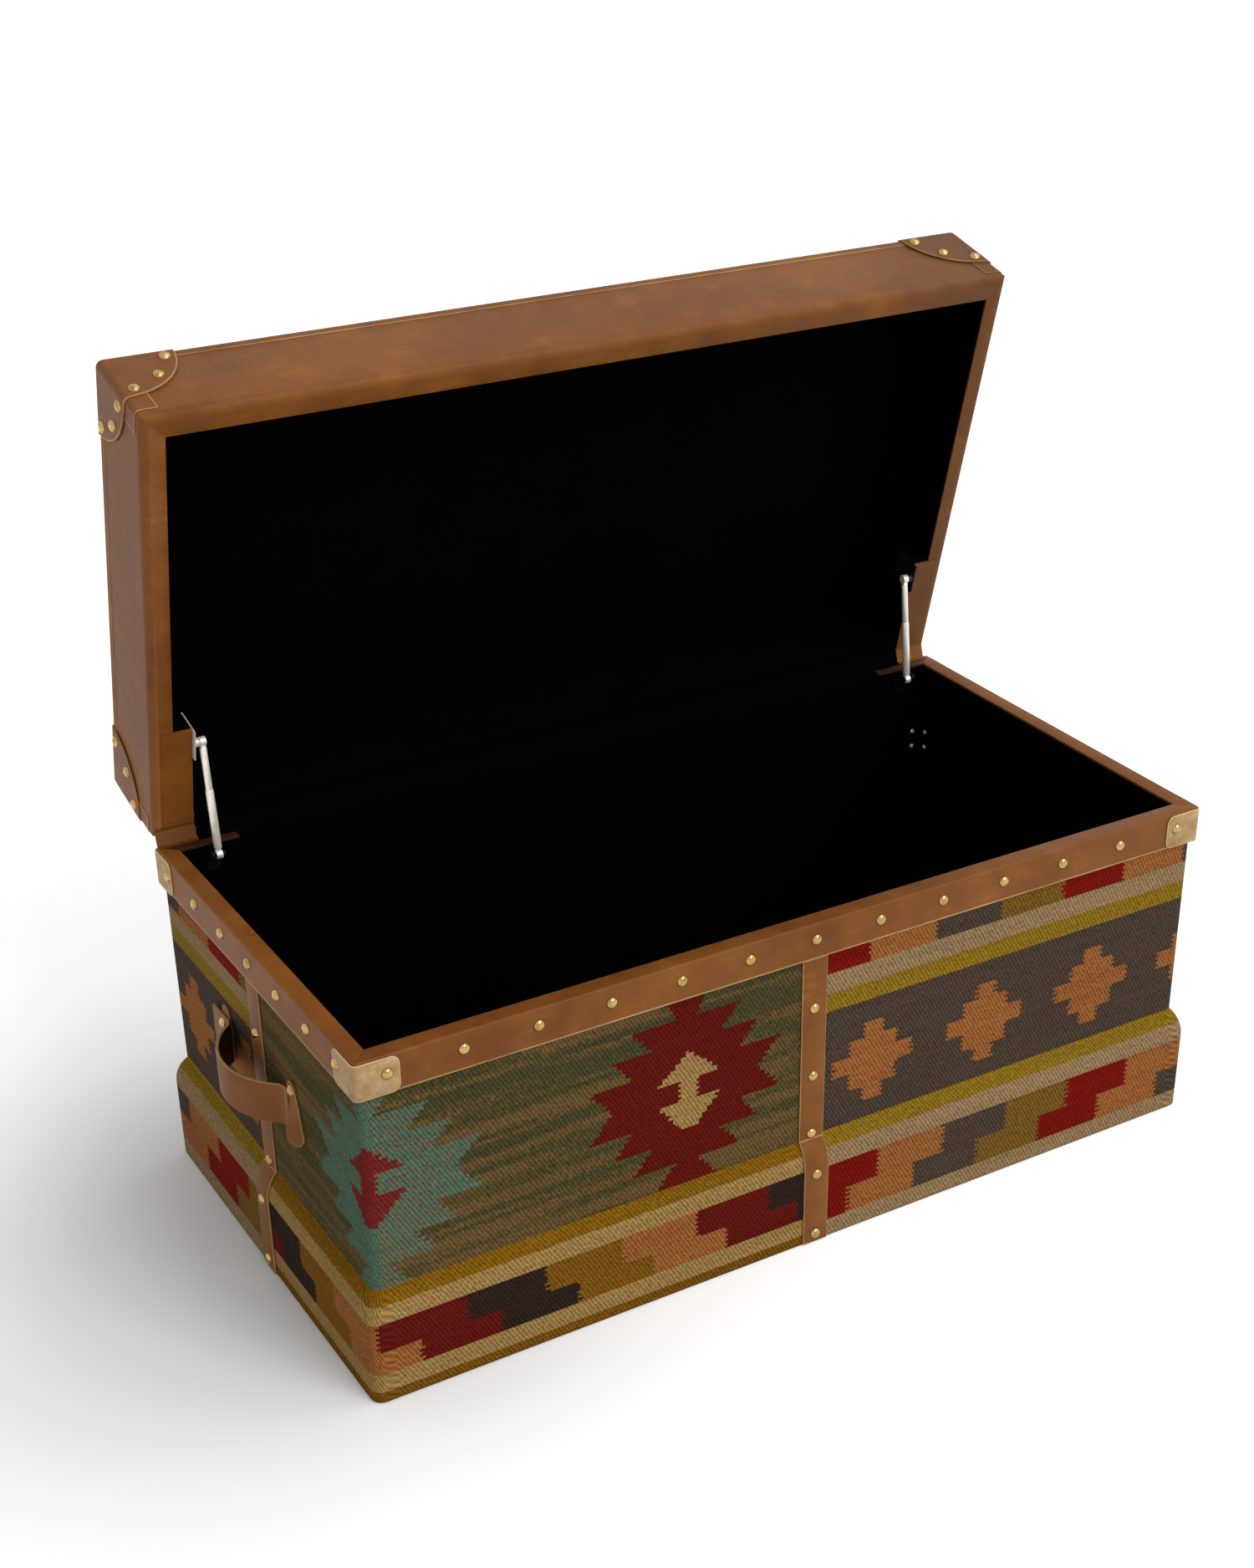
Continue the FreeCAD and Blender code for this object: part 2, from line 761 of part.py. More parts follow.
brace_high = d.box_height - d.brace_drop
brace_low = brace_high - d.brace_height
braces = []
brace_places = []
for name, sign_x, sign_y in (("fl", -1, -1), ("fr", 1, -1), ("bl", -1, 1), ("br", 1, 1)):
    brace = new_body("brace_" + name)
    wall_x = hollow_x - d.layer_gap
    wall_y = hollow_y - d.layer_gap
    thin_x = wall_x - d.brace_plate
    thin_y = wall_y - d.brace_plate
    short_x = wall_x - d.brace_arm
    short_y = wall_y - d.brace_arm
    for part, near_x, near_y in (("a", thin_x, short_y), ("b", short_x, thin_y)):
        xs = (near_x, wall_x) if sign_x > 0 else (-wall_x, -near_x)
        ys = (near_y, wall_y) if sign_y > 0 else (-wall_y, -near_y)
        low = (xs[0], ys[0], brace_low)
        add_box(brace, "arm_%s_%s" % (name, part), low, (xs[1], ys[1], brace_high))
    braces.append(brace)
    for level in (brace_low + d.brace_screw_inset, brace_high - d.brace_screw_inset):
        along_x = (short_x + d.brace_screw_inset) * sign_x
        along_y = (short_y + d.brace_screw_inset) * sign_y
        brace_places.append((spot(along_x, thin_y * sign_y, level), (0, -sign_y, 0)))
        brace_places.append((spot(thin_x * sign_x, along_y, level), (-sign_x, 0, 0)))
nodes["corner_braces"] = group("corner_braces", braces)
nodes["brace_screws"] = domes(
    "brace_screws", brace_places, d.screw_radius, d.screw_rise, screw_ring_shares
)

# Butt hinges on the outside of the back: leaves, knuckles and pins on one line

band_y = half_depth - d.lid_step
third = d.hinge_length / 3
hinge_places = (-d.hinge_outer, zero, d.hinge_outer)
bore = d.hinge_pin_radius + d.hinge_pin_gap
leaf_screw_share = 2 / 3


def knuckle(body, name, start, length):
    add_rod(body, name, "YZ", (hinge_y, hinge_z, start), d.knuckle_radius, length)


def knuckle_bore(body, name, start):
    add_rod(body, name, "YZ", (hinge_y, hinge_z, start), bore, d.hinge_length, "Subtractive")


def gap_box(body, name, start, end, swing):
    # Room for the other leaf's knuckle
    low = (start, half_depth - swing, hinge_z - swing)
    add_box(body, name, low, (end, hinge_y + swing, hinge_z + swing), "Subtractive")


box_leaves = []
lid_leaves = []
pins = []
box_screw_places = []
lid_screw_places = []
swing = d.knuckle_radius + d.knuckle_gap
for i, middle in enumerate(hinge_places):
    start = middle - d.hinge_length / 2
    end = middle + d.hinge_length / 2
    first = start + third
    second = end - third
    leaf_y = half_depth + d.hinge_leaf
    leaf = new_body("box_leaf_%d" % i)
    add_box(leaf, "box_plate_%d" % i, (start, half_depth, hinge_z - d.hinge_drop), (end, leaf_y, hinge_z))
    gap_box(leaf, "box_room_%d" % i, first - d.knuckle_gap, second + d.knuckle_gap, swing)
    knuckle(leaf, "box_knuckle_a_%d" % i, start, third - d.knuckle_gap)
    knuckle(leaf, "box_knuckle_b_%d" % i, second + d.knuckle_gap, third - d.knuckle_gap)
    knuckle_bore(leaf, "box_bore_%d" % i, start)
    box_leaves.append(leaf)
    leaf = new_body("lid_leaf_%d" % i)
    lid_leaf_y = band_y + d.hinge_leaf
    lid_low = (start, band_y, hinge_z)
    add_box(leaf, "lid_plate_%d" % i, lid_low, (end, lid_leaf_y, hinge_z + d.hinge_drop))
    gap_box(leaf, "lid_room_a_%d" % i, start - d.overrun, first, swing)
    gap_box(leaf, "lid_room_b_%d" % i, second, end + d.overrun, swing)
    knuckle(leaf, "lid_knuckle_%d" % i, first, third)
    neck_low = (first, band_y, hinge_z)
    add_box(leaf, "lid_neck_%d" % i, neck_low, (second, hinge_y, hinge_z + d.knuckle_radius))
    knuckle_bore(leaf, "lid_bore_%d" % i, start)
    lid_leaves.append(leaf)
    pin = new_body("hinge_pin_%d" % i)
    add_rod(pin, "hinge_pin_rod_%d" % i, "YZ", (hinge_y, hinge_z, start), d.hinge_pin_radius, d.hinge_length)
    pins.append(pin)
    for side in (-1, 1):
        along = middle + d.screw_pitch / 2 * side
        low_level = hinge_z - d.hinge_drop * leaf_screw_share
        high_level = hinge_z + d.hinge_drop * leaf_screw_share
        box_screw_places.append((spot(along, leaf_y, low_level), (0, 1, 0)))
        lid_screw_places.append((spot(along, lid_leaf_y, high_level), (0, 1, 0)))
nodes["hinge_box_leaves"] = group("hinge_box_leaves", box_leaves)
nodes["hinge_pins"] = group("hinge_pins", pins)
nodes["hinge_box_screws"] = domes(
    "hinge_box_screws", box_screw_places, d.screw_radius, d.screw_rise, screw_ring_shares
)

# Lid: mitred side boards and a top board, drawn closed

lid_nodes = []


def lid_piece(label, piece):
    nodes[label] = piece
    lid_nodes.append(label)


band_x = half_width - d.lid_step
frame_out = band_y - d.lid_leather - d.layer_gap
frame_in = half_depth - d.lid_wall + d.lining_thick + d.layer_gap
frame_low = rim_plane + d.lid_leather + d.layer_gap
skin_low = lid_top - d.lid_leather - d.layer_gap
frame_high = skin_low - d.lid_top_thick
frame_round = d.lid_edge_round - d.lid_leather - d.layer_gap
frame_corner = d.lid_edge_round
frame_x = band_x - d.lid_leather - d.layer_gap
frame_in_x = frame_in + half_width - half_depth
frame_outer = rounded_block(
    "frame_outer", frame_x, frame_out, frame_corner, frame_low, frame_high - frame_low,
    frame_round, "bottom", True,
)
frame_hollow = slab("frame_hollow", (-frame_in_x, -frame_in, zero), (frame_in_x, frame_in, full_height))
mitred("lid_%s_board", combine("Cut", "lid_frame", frame_outer, frame_hollow))
for side in mitres:
    lid_nodes.append("lid_%s_board" % side)

lid_board = rounded_block(
    "lid_top_board", frame_x, frame_out, frame_corner, frame_high, d.lid_top_thick,
    frame_round, "top", True,
)
lid_piece("lid_top_board", lid_board)

# Lid leather: side wraps that turn over the rim edge, mitred at the corners, and a top skin

wrap_top = lid_top - d.lid_seam - d.layer_gap
wrap_inner_round = d.lid_edge_round - d.lid_leather
wrap_outer = mitred_block(
    "wrap_outer", band_x, band_y, d.lid_corner_round, rim_plane, wrap_top, d.lid_edge_round
)
wrap_inner = mitred_block(
    "wrap_inner", band_x - d.lid_leather, band_y - d.lid_leather, d.lid_corner_round - d.lid_leather,
    rim_plane + d.lid_leather, lid_top, wrap_inner_round, True,
)
wrap_shell = combine("Cut", "wrap_shell", wrap_outer, wrap_inner)
border_x = half_width - d.lid_wall
border_y = half_depth - d.lid_wall
wrap_hollow = slab("wrap_hollow", (-border_x, -border_y, zero), (border_x, border_y, full_height))
mitred("lid_wrap_%s", combine("Cut", "lid_wrap", wrap_shell, wrap_hollow))
for side in mitres:
    lid_nodes.append("lid_wrap_%s" % side)

skin_round = d.lid_corner_round + d.lid_step
skin_outer = rounded_block(
    "skin_outer", half_width, half_depth, skin_round, lid_top - d.lid_seam, d.lid_seam, d.lid_top_round
)
skin_inner = rounded_block(
    "skin_inner", half_width - d.lid_leather, half_depth - d.lid_leather, skin_round - d.lid_leather,
    lid_top - d.lid_seam - d.overrun, d.lid_seam + d.overrun - d.lid_leather,
    d.lid_top_round - d.lid_leather, "top", True,
)
lid_piece("lid_top_leather", combine("Cut", "lid_top_leather", skin_outer, skin_inner))

# Leather patches folded over the lid corners, each a round lobe on three faces

patch_in_x = half_width + d.layer_gap
patch_in_y = half_depth + d.layer_gap
patch_outer = rounded_block(
    "patch_outer", patch_in_x + d.patch_thick, patch_in_y + d.patch_thick,
    skin_round + d.layer_gap + d.patch_thick, rim_plane, d.lid_height + d.layer_gap + d.patch_thick,
    d.lid_top_round + d.layer_gap + d.patch_thick,
)
patch_inner = rounded_block(
    "patch_inner", patch_in_x, patch_in_y, skin_round + d.layer_gap, rim_plane,
    d.lid_height + d.layer_gap, d.lid_top_round + d.layer_gap, "top", True,
)
patch_shell = combine("Cut", "patch_shell", patch_outer, patch_inner)
for side, sign_x, sign_y in (
    ("front_left", -1, -1), ("front_right", 1, -1), ("back_left", -1, 1), ("back_right", 1, 1),
):
    lobe = doc.addObject("Part::Sphere", "lobe_" + side)
    bind(lobe, Radius=d.patch_radius)
    for axis, length in zip("xyz", (half_width * sign_x, half_depth * sign_y, lid_top)):
        lobe.setExpression("Placement.Base." + axis, length.text)
    label = "lid_patch_" + side
    lid_piece(label, combine("Common", label, patch_shell, lobe))

# Thin leather strips round the upright lid corners, tucked under the patches

strip_in_y = band_y + d.layer_gap
strip_out_y = strip_in_y + d.strip_thick
strip_low = rim_plane + d.strip_low
strip_high = lid_top - d.patch_radius + d.strip_tuck
strip_points = [
    (-strip_in_y, strip_low), (-strip_in_y, strip_high),
    (-strip_out_y, strip_high), (-strip_out_y, strip_low),
]
strip_ring = ring("strip", band_x, band_y, d.lid_corner_round, strip_points, {})
strip_blocks = corner_boxes(
    "strip_corners", half_width - d.strip_reach, half_depth - d.strip_reach, zero, full_height
)
lid_piece("lid_corner_strips", combine("Common", "lid_corner_strips", strip_ring, strip_blocks))

# Lid lining with its flap over the hinge side, and the blocks that carry the stays

lid_hollow_x = half_width - d.lid_wall
lid_hollow_y = half_depth - d.lid_wall
lid_lining_high = frame_high - d.layer_gap
lid_lining = new_body("lid_lining")
lid_lining_x = lid_hollow_x + d.lining_thick
lid_lining_y = lid_hollow_y + d.lining_thick
add_box(
    lid_lining, "lid_lining_walls",
    (-lid_lining_x, -lid_lining_y, frame_low), (lid_lining_x, lid_lining_y, lid_lining_high),
)
lid_hollow_high = lid_lining_high - d.lining_thick
add_box(
    lid_lining, "lid_lining_hollow",
    (-lid_hollow_x, -lid_hollow_y, rim_plane), (lid_hollow_x, lid_hollow_y, lid_hollow_high), "Subtractive",
)
lid_flap_y = lid_hollow_y - d.flap_thick
lid_flap_low = rim_plane - d.flap_thick
add_box(
    lid_lining, "lid_flap_tail",
    (-flap_x, lid_flap_y, lid_flap_low), (flap_x, lid_hollow_y, frame_low + d.flap_tail),
)
add_box(
    lid_lining, "lid_flap_lap",
    (-flap_x, lid_flap_y, lid_flap_low), (flap_x, lid_hollow_y + d.flap_lap, rim_plane),
)
lid_piece("lid_lining", lid_lining)

block_out = lid_hollow_x - d.layer_gap
block_in = block_out - d.block_width
block_back = lid_hollow_y - d.layer_gap
block_front = half_depth - d.block_reach
block_high = lid_hollow_high - d.layer_gap
blocks = []
for side, low_x, high_x in (("left", -block_out, -block_in), ("right", block_in, block_out)):
    low = (low_x, block_front, rim_plane)
    blocks.append(slab("stay_block_" + side, low, (high_x, block_back, block_high)))
lid_piece("lid_stay_blocks", group("lid_stay_blocks", blocks))

# Brass studs on the lid patches: three on each upright lobe, near its round edge

patch_share = 0.84
stud_angle_shares = (0.08, 0.5, 0.92)
patch_x = patch_in_x + d.patch_thick
patch_y = patch_in_y + d.patch_thick
ring_radius = d.patch_radius * patch_share
lid_places = []
for sign_x in (-1, 1):
    for sign_y in (-1, 1):
        for share in stud_angle_shares:
            turn = share * math.pi / 2
            along = ring_radius * math.cos(turn)
            level = lid_top - ring_radius * math.sin(turn)
            clear = skin_round + d.layer_gap + d.patch_thick + d.stud_radius
            if ring_radius.value * math.sin(turn) < clear.value:
                level = lid_top - clear
            if along.value < clear.value:
                along = clear
            x = (half_width - along) * sign_x
            y = (half_depth - along) * sign_y
            lid_places.append((spot(x, patch_y * sign_y, level), (0, sign_y, 0)))
            lid_places.append((spot(patch_x * sign_x, y, level), (sign_x, 0, 0)))
lid_piece("lid_studs", domes("lid_studs", lid_places, d.stud_radius, d.stud_rise, stud_ring_shares))
lid_piece("hinge_lid_leaves", group("hinge_lid_leaves", lid_leaves))
lid_screws = domes(
    "hinge_lid_screws", lid_screw_places, d.screw_radius, d.screw_rise, screw_ring_shares
)
lid_piece("hinge_lid_screws", lid_screws)

# Lid brackets of the stays: a plate on the block's inner face with a boss at the upper pivot

stay_x = half_width - d.stay_inset
high_y = half_depth - d.stay_high_reach
high_z = rim_plane
boss_start = stay_x + d.rod_radius + d.stay_boss_gap
plate_out = block_in - d.layer_gap
plate_in = plate_out - d.stay_plate
lid_brackets = []
for side, sign in (("left", -1), ("right", 1)):
    bracket = new_body("lid_bracket_" + side)
    xs = (plate_in, plate_out) if sign > 0 else (-plate_out, -plate_in)
    low = (xs[0], high_y - d.bracket_long / 2, rim_plane - d.bracket_proud)
    high = (xs[1], high_y + d.bracket_long / 2, rim_plane + d.bracket_height)
    add_box(bracket, "lid_bracket_plate_" + side, low, high)
    boss_low = boss_start if sign > 0 else -plate_in
    boss_at = (high_y, high_z, boss_low)
    add_rod(bracket, "lid_bracket_boss_" + side, "YZ", boss_at, d.eye_radius, plate_in - boss_start)
    lid_brackets.append(bracket)
lid_piece("stay_lid_brackets", group("stay_lid_brackets", lid_brackets))

# Box brackets of the stays: a plate on the back lining, a lug and a headed pivot pin

low_y = hollow_y - d.stay_low_in
low_z = d.box_height - d.stay_low_drop
plate_back = hollow_y - d.layer_gap
plate_front = plate_back - d.stay_plate
lug_in = stay_x + d.tube_radius + d.stay_side_gap
lug_out = lug_in + d.stay_lug
head_out = stay_x - d.eye_width / 2 - d.stay_side_gap
box_brackets = []
for side, sign in (("left", -1), ("right", 1)):
    bracket = new_body("box_bracket_" + side)
    edge = lug_out - d.bracket_width
    xs = (edge, lug_out) if sign > 0 else (-lug_out, -edge)
    plate_low = low_z + d.eye_radius - d.bracket_height
    low = (xs[0], plate_front, plate_low)
    add_box(bracket, "box_bracket_plate_" + side, low, (xs[1], plate_back, low_z + d.eye_radius))
    xs = (lug_in, lug_out) if sign > 0 else (-lug_out, -lug_in)
    low = (xs[0], low_y, low_z - d.eye_radius)
    add_box(bracket, "box_bracket_lug_" + side, low, (xs[1], plate_front, low_z + d.eye_radius))
    add_rod(bracket, "box_bracket_nose_" + side, "YZ", (low_y, low_z, xs[0]), d.eye_radius, d.stay_lug)
    pin_low = head_out if sign > 0 else -lug_in
    pin_at = (low_y, low_z, pin_low)
    add_rod(bracket, "box_bracket_pin_" + side, "YZ", pin_at, d.stay_pin_radius, lug_in - head_out)
    head_low = head_out - d.stay_plate if sign > 0 else -head_out
    head_at = (low_y, low_z, head_low)
    add_rod(bracket, "box_bracket_head_" + side, "YZ", head_at, d.stay_pin_head, d.stay_plate)
    box_brackets.append(bracket)
nodes["stay_box_brackets"] = group("stay_box_brackets", box_brackets)


# Open pose of the lid and the line of the stays in it

def opened(y, z):
    # Where a point of the closed lid stands when the lid is open
    cosine = d.open_angle.cosine()
    sine = d.open_angle.sine()
    run = y - hinge_y
    rise = z - hinge_z
    return hinge_y + run * cosine + rise * sine, hinge_z - run * sine + rise * cosine


hinge_point = FreeCAD.Vector(0, hinge_y.value, hinge_z.value)
open_turn = FreeCAD.Rotation(FreeCAD.Vector(1, 0, 0), -d.open_angle.value)
lid_pose = FreeCAD.Placement(FreeCAD.Vector(0, 0, 0), open_turn, hinge_point)

open_y, open_z = opened(high_y, high_z)
stay_run = open_y - low_y
stay_rise = open_z - low_z
stay_open = (stay_run * stay_run + stay_rise * stay_rise).root()
lean = math.degrees(math.atan2(stay_run.value, stay_rise.value))
stay_lean = FreeCAD.Rotation(FreeCAD.Vector(1, 0, 0), -lean)


def stay_pose(sign):
    return FreeCAD.Placement(spot(stay_x * sign, low_y, low_z), stay_lean)


# Stay tubes and rods, drawn upright from the lower pivot and leaned into place

for side, sign in (("left", -1), ("right", 1)):
    tube = new_body("stay_tube_" + side)
    eye_at = (zero, zero, -d.eye_width / 2)
    add_rod(tube, "tube_eye_" + side, "YZ", eye_at, d.eye_radius, d.eye_width)
    tang = (d.eye_neck, d.eye_neck, d.tube_start)
    add_box(tube, "tube_neck_" + side, (-d.eye_neck, -d.eye_neck, zero), tang)
    tube_at = (zero, zero, d.tube_start)
    add_rod(tube, "tube_barrel_" + side, "XY", tube_at, d.tube_radius, d.tube_end - d.tube_start)
    bore_at = (zero, zero, d.tube_start + d.tube_floor)
    slide_radius = d.rod_radius + d.rod_fit_gap
    add_rod(tube, "tube_bore_" + side, "XY", bore_at, slide_radius, d.tube_end, "Subtractive")
    pin_radius = d.stay_pin_radius + d.rod_fit_gap
    add_rod(tube, "tube_pin_hole_" + side, "YZ", eye_at, pin_radius, d.eye_width, "Subtractive")
    tube.Placement = stay_pose(sign)
    nodes["stay_tube_" + side] = tube
    rod = new_body("stay_rod_" + side)
    rod_at = (zero, zero, d.rod_start)
    bar_end = stay_open - d.tube_start
    add_rod(rod, "rod_bar_" + side, "XY", rod_at, d.rod_radius, bar_end - d.rod_start)
    tang = (d.eye_neck, d.eye_neck, stay_open)
    add_box(rod, "rod_neck_" + side, (-d.eye_neck, -d.eye_neck, bar_end), tang)
    rod_eye = (zero, stay_open, -d.eye_width / 2)
    add_rod(rod, "rod_eye_" + side, "YZ", rod_eye, d.eye_radius, d.eye_width)
    rod.Placement = stay_pose(sign)
    nodes["stay_rod_" + side] = rod

for label in lid_nodes:
    nodes[label].Placement = lid_pose

doc.recompute()

# Checks before anything is written

for item in doc.Objects:
    if "Invalid" in item.State or "Error" in item.State:
        raise RuntimeError("%s failed: %s" % (item.Name, item.State))
for label, item in nodes.items():
    item.Label = label
    if item.Shape.isNull() or not item.Shape.isValid() or not item.Shape.Solids:
        raise RuntimeError("%s has no valid solid" % label)

os.makedirs("parts", exist_ok=True)
for label, item in nodes.items():
    item.Shape.exportStep("parts/%s.step" % label)

print("%d nodes" % len(nodes))
print("lower pivot %.3f %.3f" % (low_y.value, low_z.value))
print("upper pivot shut %.3f %.3f" % (high_y.value, high_z.value))
print("upper pivot open %.3f %.3f" % (open_y.value, open_z.value))
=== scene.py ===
import bmesh
import bpy
import math
from mathutils import Matrix, Vector


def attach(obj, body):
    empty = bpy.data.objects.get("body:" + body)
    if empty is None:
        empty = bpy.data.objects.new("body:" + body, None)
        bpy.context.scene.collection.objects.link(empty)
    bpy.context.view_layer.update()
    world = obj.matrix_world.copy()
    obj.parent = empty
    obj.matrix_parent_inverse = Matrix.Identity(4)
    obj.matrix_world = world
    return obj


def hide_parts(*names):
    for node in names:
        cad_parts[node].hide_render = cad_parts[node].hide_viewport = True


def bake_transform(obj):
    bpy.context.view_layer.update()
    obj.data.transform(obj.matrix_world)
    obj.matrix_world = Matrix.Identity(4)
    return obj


# Kilim and leather trunk with its lid open. Lengths in the dictionaries are millimetres.
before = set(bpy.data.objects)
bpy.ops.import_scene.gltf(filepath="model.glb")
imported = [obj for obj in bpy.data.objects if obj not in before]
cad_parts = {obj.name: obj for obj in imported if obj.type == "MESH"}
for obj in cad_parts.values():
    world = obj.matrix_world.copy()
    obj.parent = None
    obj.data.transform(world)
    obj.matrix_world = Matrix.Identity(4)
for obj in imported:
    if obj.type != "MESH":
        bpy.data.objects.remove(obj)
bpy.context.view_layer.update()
scene = bpy.context.scene
scene.view_settings.view_transform = "Standard"
mm = 0.001
tiny = 1e-5
# how many facets go round each kind of bend
facets = {"upright": 8, "topEdge": 6, "lidRim": 8, "capEnd": 6, "tabEnd": 9, "bar": 32, "barEnd": 3}
print("frame loaded with", len(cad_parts), "nodes")


# Materials

class Socket:
    # a node's output that takes part in sums

    def __init__(self, owner, out):
        self.owner = owner
        self.out = out

    def maths(self, operation, first, second):
        return self.owner.node("ShaderNodeMath", {"operation": operation}, {0: first, 1: second})

    def __add__(self, other):
        return self.maths("ADD", self, other)

    def __sub__(self, other):
        return self.maths("SUBTRACT", self, other)

    def __rsub__(self, other):
        return self.maths("SUBTRACT", other, self)

    def __mul__(self, other):
        return self.maths("MULTIPLY", self, other)

    __radd__ = __add__
    __rmul__ = __mul__


class Nodes:
    # a node tree whose nodes all come from one method

    def __init__(self, tree):
        self.tree = tree

    def node(self, kind, settings, inputs, output=0):
        made = self.tree.nodes.new(kind)
        for key, value in settings.items():
            setattr(made, key, value)
        for key, value in inputs.items():
            self.feed(made.inputs[key], value)
        return Socket(self, made.outputs[output])

    def feed(self, socket, value):
        if isinstance(value, Socket):
            self.tree.links.new(value.out, socket)
        else:
            socket.default_value = value

    def seenRays(self):
        # 1 for rays from the camera and for those that come by way of metal or glass
        seen = self.node("ShaderNodeLightPath", {}, {}, "Is Camera Ray")
        for ray in ("Is Glossy Ray", "Is Transmission Ray"):
            seen = seen.maths("MAXIMUM", seen, self.node("ShaderNodeLightPath", {}, {}, ray))
        return seen


class Finish(Nodes):
    # one material with its shader and the nodes that feed it

    def __init__(self, name, **constants):
        self.material = bpy.data.materials.new(name)
        self.material.use_nodes = True
        super().__init__(self.material.node_tree)
        self.shader = self.tree.nodes["Principled BSDF"]
        self.shade(**constants)

    def shade(self, **values):
        for key, value in values.items():
            self.feed(self.shader.inputs[shaderInputs[key]], value)

    def place(self):
        return self.node("ShaderNodeTexCoord", {}, {}, "Object")

    def stretch(self, vector, factors):
        return self.node("ShaderNodeVectorMath", {"operation": "MULTIPLY"}, {0: vector, 1: factors})

    def part(self, vector, axis):
        return self.node("ShaderNodeSeparateXYZ", {}, {"Vector": vector}, axis)

    def noise(self, vector, scale, detail=3.0, rough=0.55, output=0):
        inputs = {"Vector": vector, "Scale": scale, "Detail": detail, "Roughness": rough}
        return self.node("ShaderNodeTexNoise", {}, inputs, output)

    def cells(self, vector, scale):
        inputs = {"Vector": vector, "Scale": scale}
        return self.node("ShaderNodeTexVoronoi", {"feature": "SMOOTH_F1"}, inputs)

    def ramp(self, value, low, high):
        inputs = {"Value": value, "From Min": low, "From Max": high}
        return self.node("ShaderNodeMapRange", {"clamp": True}, inputs)

    def blend(self, share, first, second, mode="MIX"):
        settings = {"data_type": "RGBA", "blend_type": mode}
        return self.node("ShaderNodeMix", settings, {0: share, 6: first, 7: second}, 2)

    def dim(self, colour, light):
        grey = self.node("ShaderNodeCombineColor", {}, {0: light, 1: light, 2: light})
        return self.blend(1.0, colour, grey, "MULTIPLY")

    def surface(self, colour, rough, height, depth, strength):
        # colour, gloss and relief, which change from place to place
        inputs = {"Height": height, "Distance": depth, "Strength": strength}
        self.shade(colour=colour, rough=rough, normal=self.node("ShaderNodeBump", {}, inputs))
        return self.material


shaderInputs = {
    "colour": "Base Color", "rough": "Roughness", "metal": "Metallic", "normal": "Normal",
    "specular": "Specular IOR Level", "glow": "Emission Color", "glowStrength": "Emission Strength",
}


def tint(red, green, blue):
    # a colour as it is seen on screen, made linear for the shader
    out = []
    for part in (red, green, blue):
        part /= 255
        out.append(part / 12.92 if part <= 0.04045 else ((part + 0.055) / 1.055) ** 2.4)
    return (*out, 1.0)


leatherTones = {
    "tanHide": {"dark": (110, 60, 14), "light": (135, 81, 26), "worn": (158, 106, 50)},
    # a very dark copy of the hide, used as painted shade
    "paintedShadeHide": {"dark": (44, 20, 8), "light": (62, 30, 12), "worn": (80, 44, 20)},
    "paleHide": {"dark": (160, 124, 80), "light": (194, 162, 116), "worn": (230, 210, 172), "scale": 3.2},
    # a darker copy of the tan hide for the left leather gusset, painted shade
    "gussetShadeHide": {"dark": (94, 48, 4), "light": (114, 66, 10), "worn": (134, 88, 30)},
    "rawEdge": {"dark": (150, 112, 68), "light": (190, 152, 104), "worn": (204, 172, 126)},
    # cut edges of the pale caps: their pale leather, lightened further as a painted highlight
    "creamEdgeAndHighlight": {"dark": (204, 170, 116), "light": (232, 204, 154), "worn": (242, 220, 178)},
}
# painted shade on the right end of the lid: where it begins and ends along X and Z, and how deep it gets
rightEndShade = {"fromX": 300, "toX": 490, "fromZ": 390, "toZ": 430, "depth": 0.36}


def leatherFinish(name, tones):
    finish = Finish(name, specular=0.22)
    place = finish.place()
    scale = tones.get("scale", 1.0)
    broad = finish.noise(place, 7.0 * scale, 4.0, 0.6)
    cloud = finish.noise(place, 23.0 * scale, 5.0, 0.62)
    drawn = finish.noise(finish.stretch(place, (3.0, 3.0, 17.0)), 6.0, 4.0, 0.6)
    fine = finish.noise(place, 190.0)
    pit = finish.ramp(finish.cells(place, 620.0), 0.05, 0.4)
    share = finish.ramp(broad * 0.5 + cloud * 0.5, 0.37, 0.63)
    colour = finish.blend(share, tint(*tones["dark"]), tint(*tones["light"]))
    wear = finish.ramp(drawn * 0.5 + cloud * 0.5, 0.55, 0.78) * 0.5
    colour = finish.blend(wear, colour, tint(*tones["worn"]))
    # painted shade: the hide of the lid is darkened towards its right end, where it lies in shade
    rightward = finish.ramp(finish.part(place, 0), rightEndShade["fromX"] * mm, rightEndShade["toX"] * mm)
    upward = finish.ramp(finish.part(place, 2), rightEndShade["fromZ"] * mm, rightEndShade["toZ"] * mm)
    light = (0.88 + pit * 0.12) * (1.0 - rightward * upward * rightEndShade["depth"])
    rough = 0.4 + fine * 0.16 + cloud * 0.12
    height = pit * 0.35 + fine * 0.25 + cloud * 0.8
    return finish.surface(finish.dim(colour, light), rough, height, 0.0009, 0.6)


yarn = {
    "olive": (79, 68, 38), "moss": (65, 62, 36), "brown": (96, 75, 44), "deepRed": (90, 18, 10),
    "scarlet": (112, 15, 6), "crimson": (106, 32, 30), "teal": (74, 98, 80), "sage": (91, 90, 71),
    "mustard": (122, 85, 12), "yellow": (130, 102, 24), "cream": (147, 117, 68), "tan": (140, 114, 80),
    "soot": (42, 29, 23), "charcoal": (70, 57, 47), "salmon": (143, 88, 45), "ochre": (116, 77, 15),
    "hemBrown": (112, 74, 10), "oliveBrown": (110, 80, 28),
}


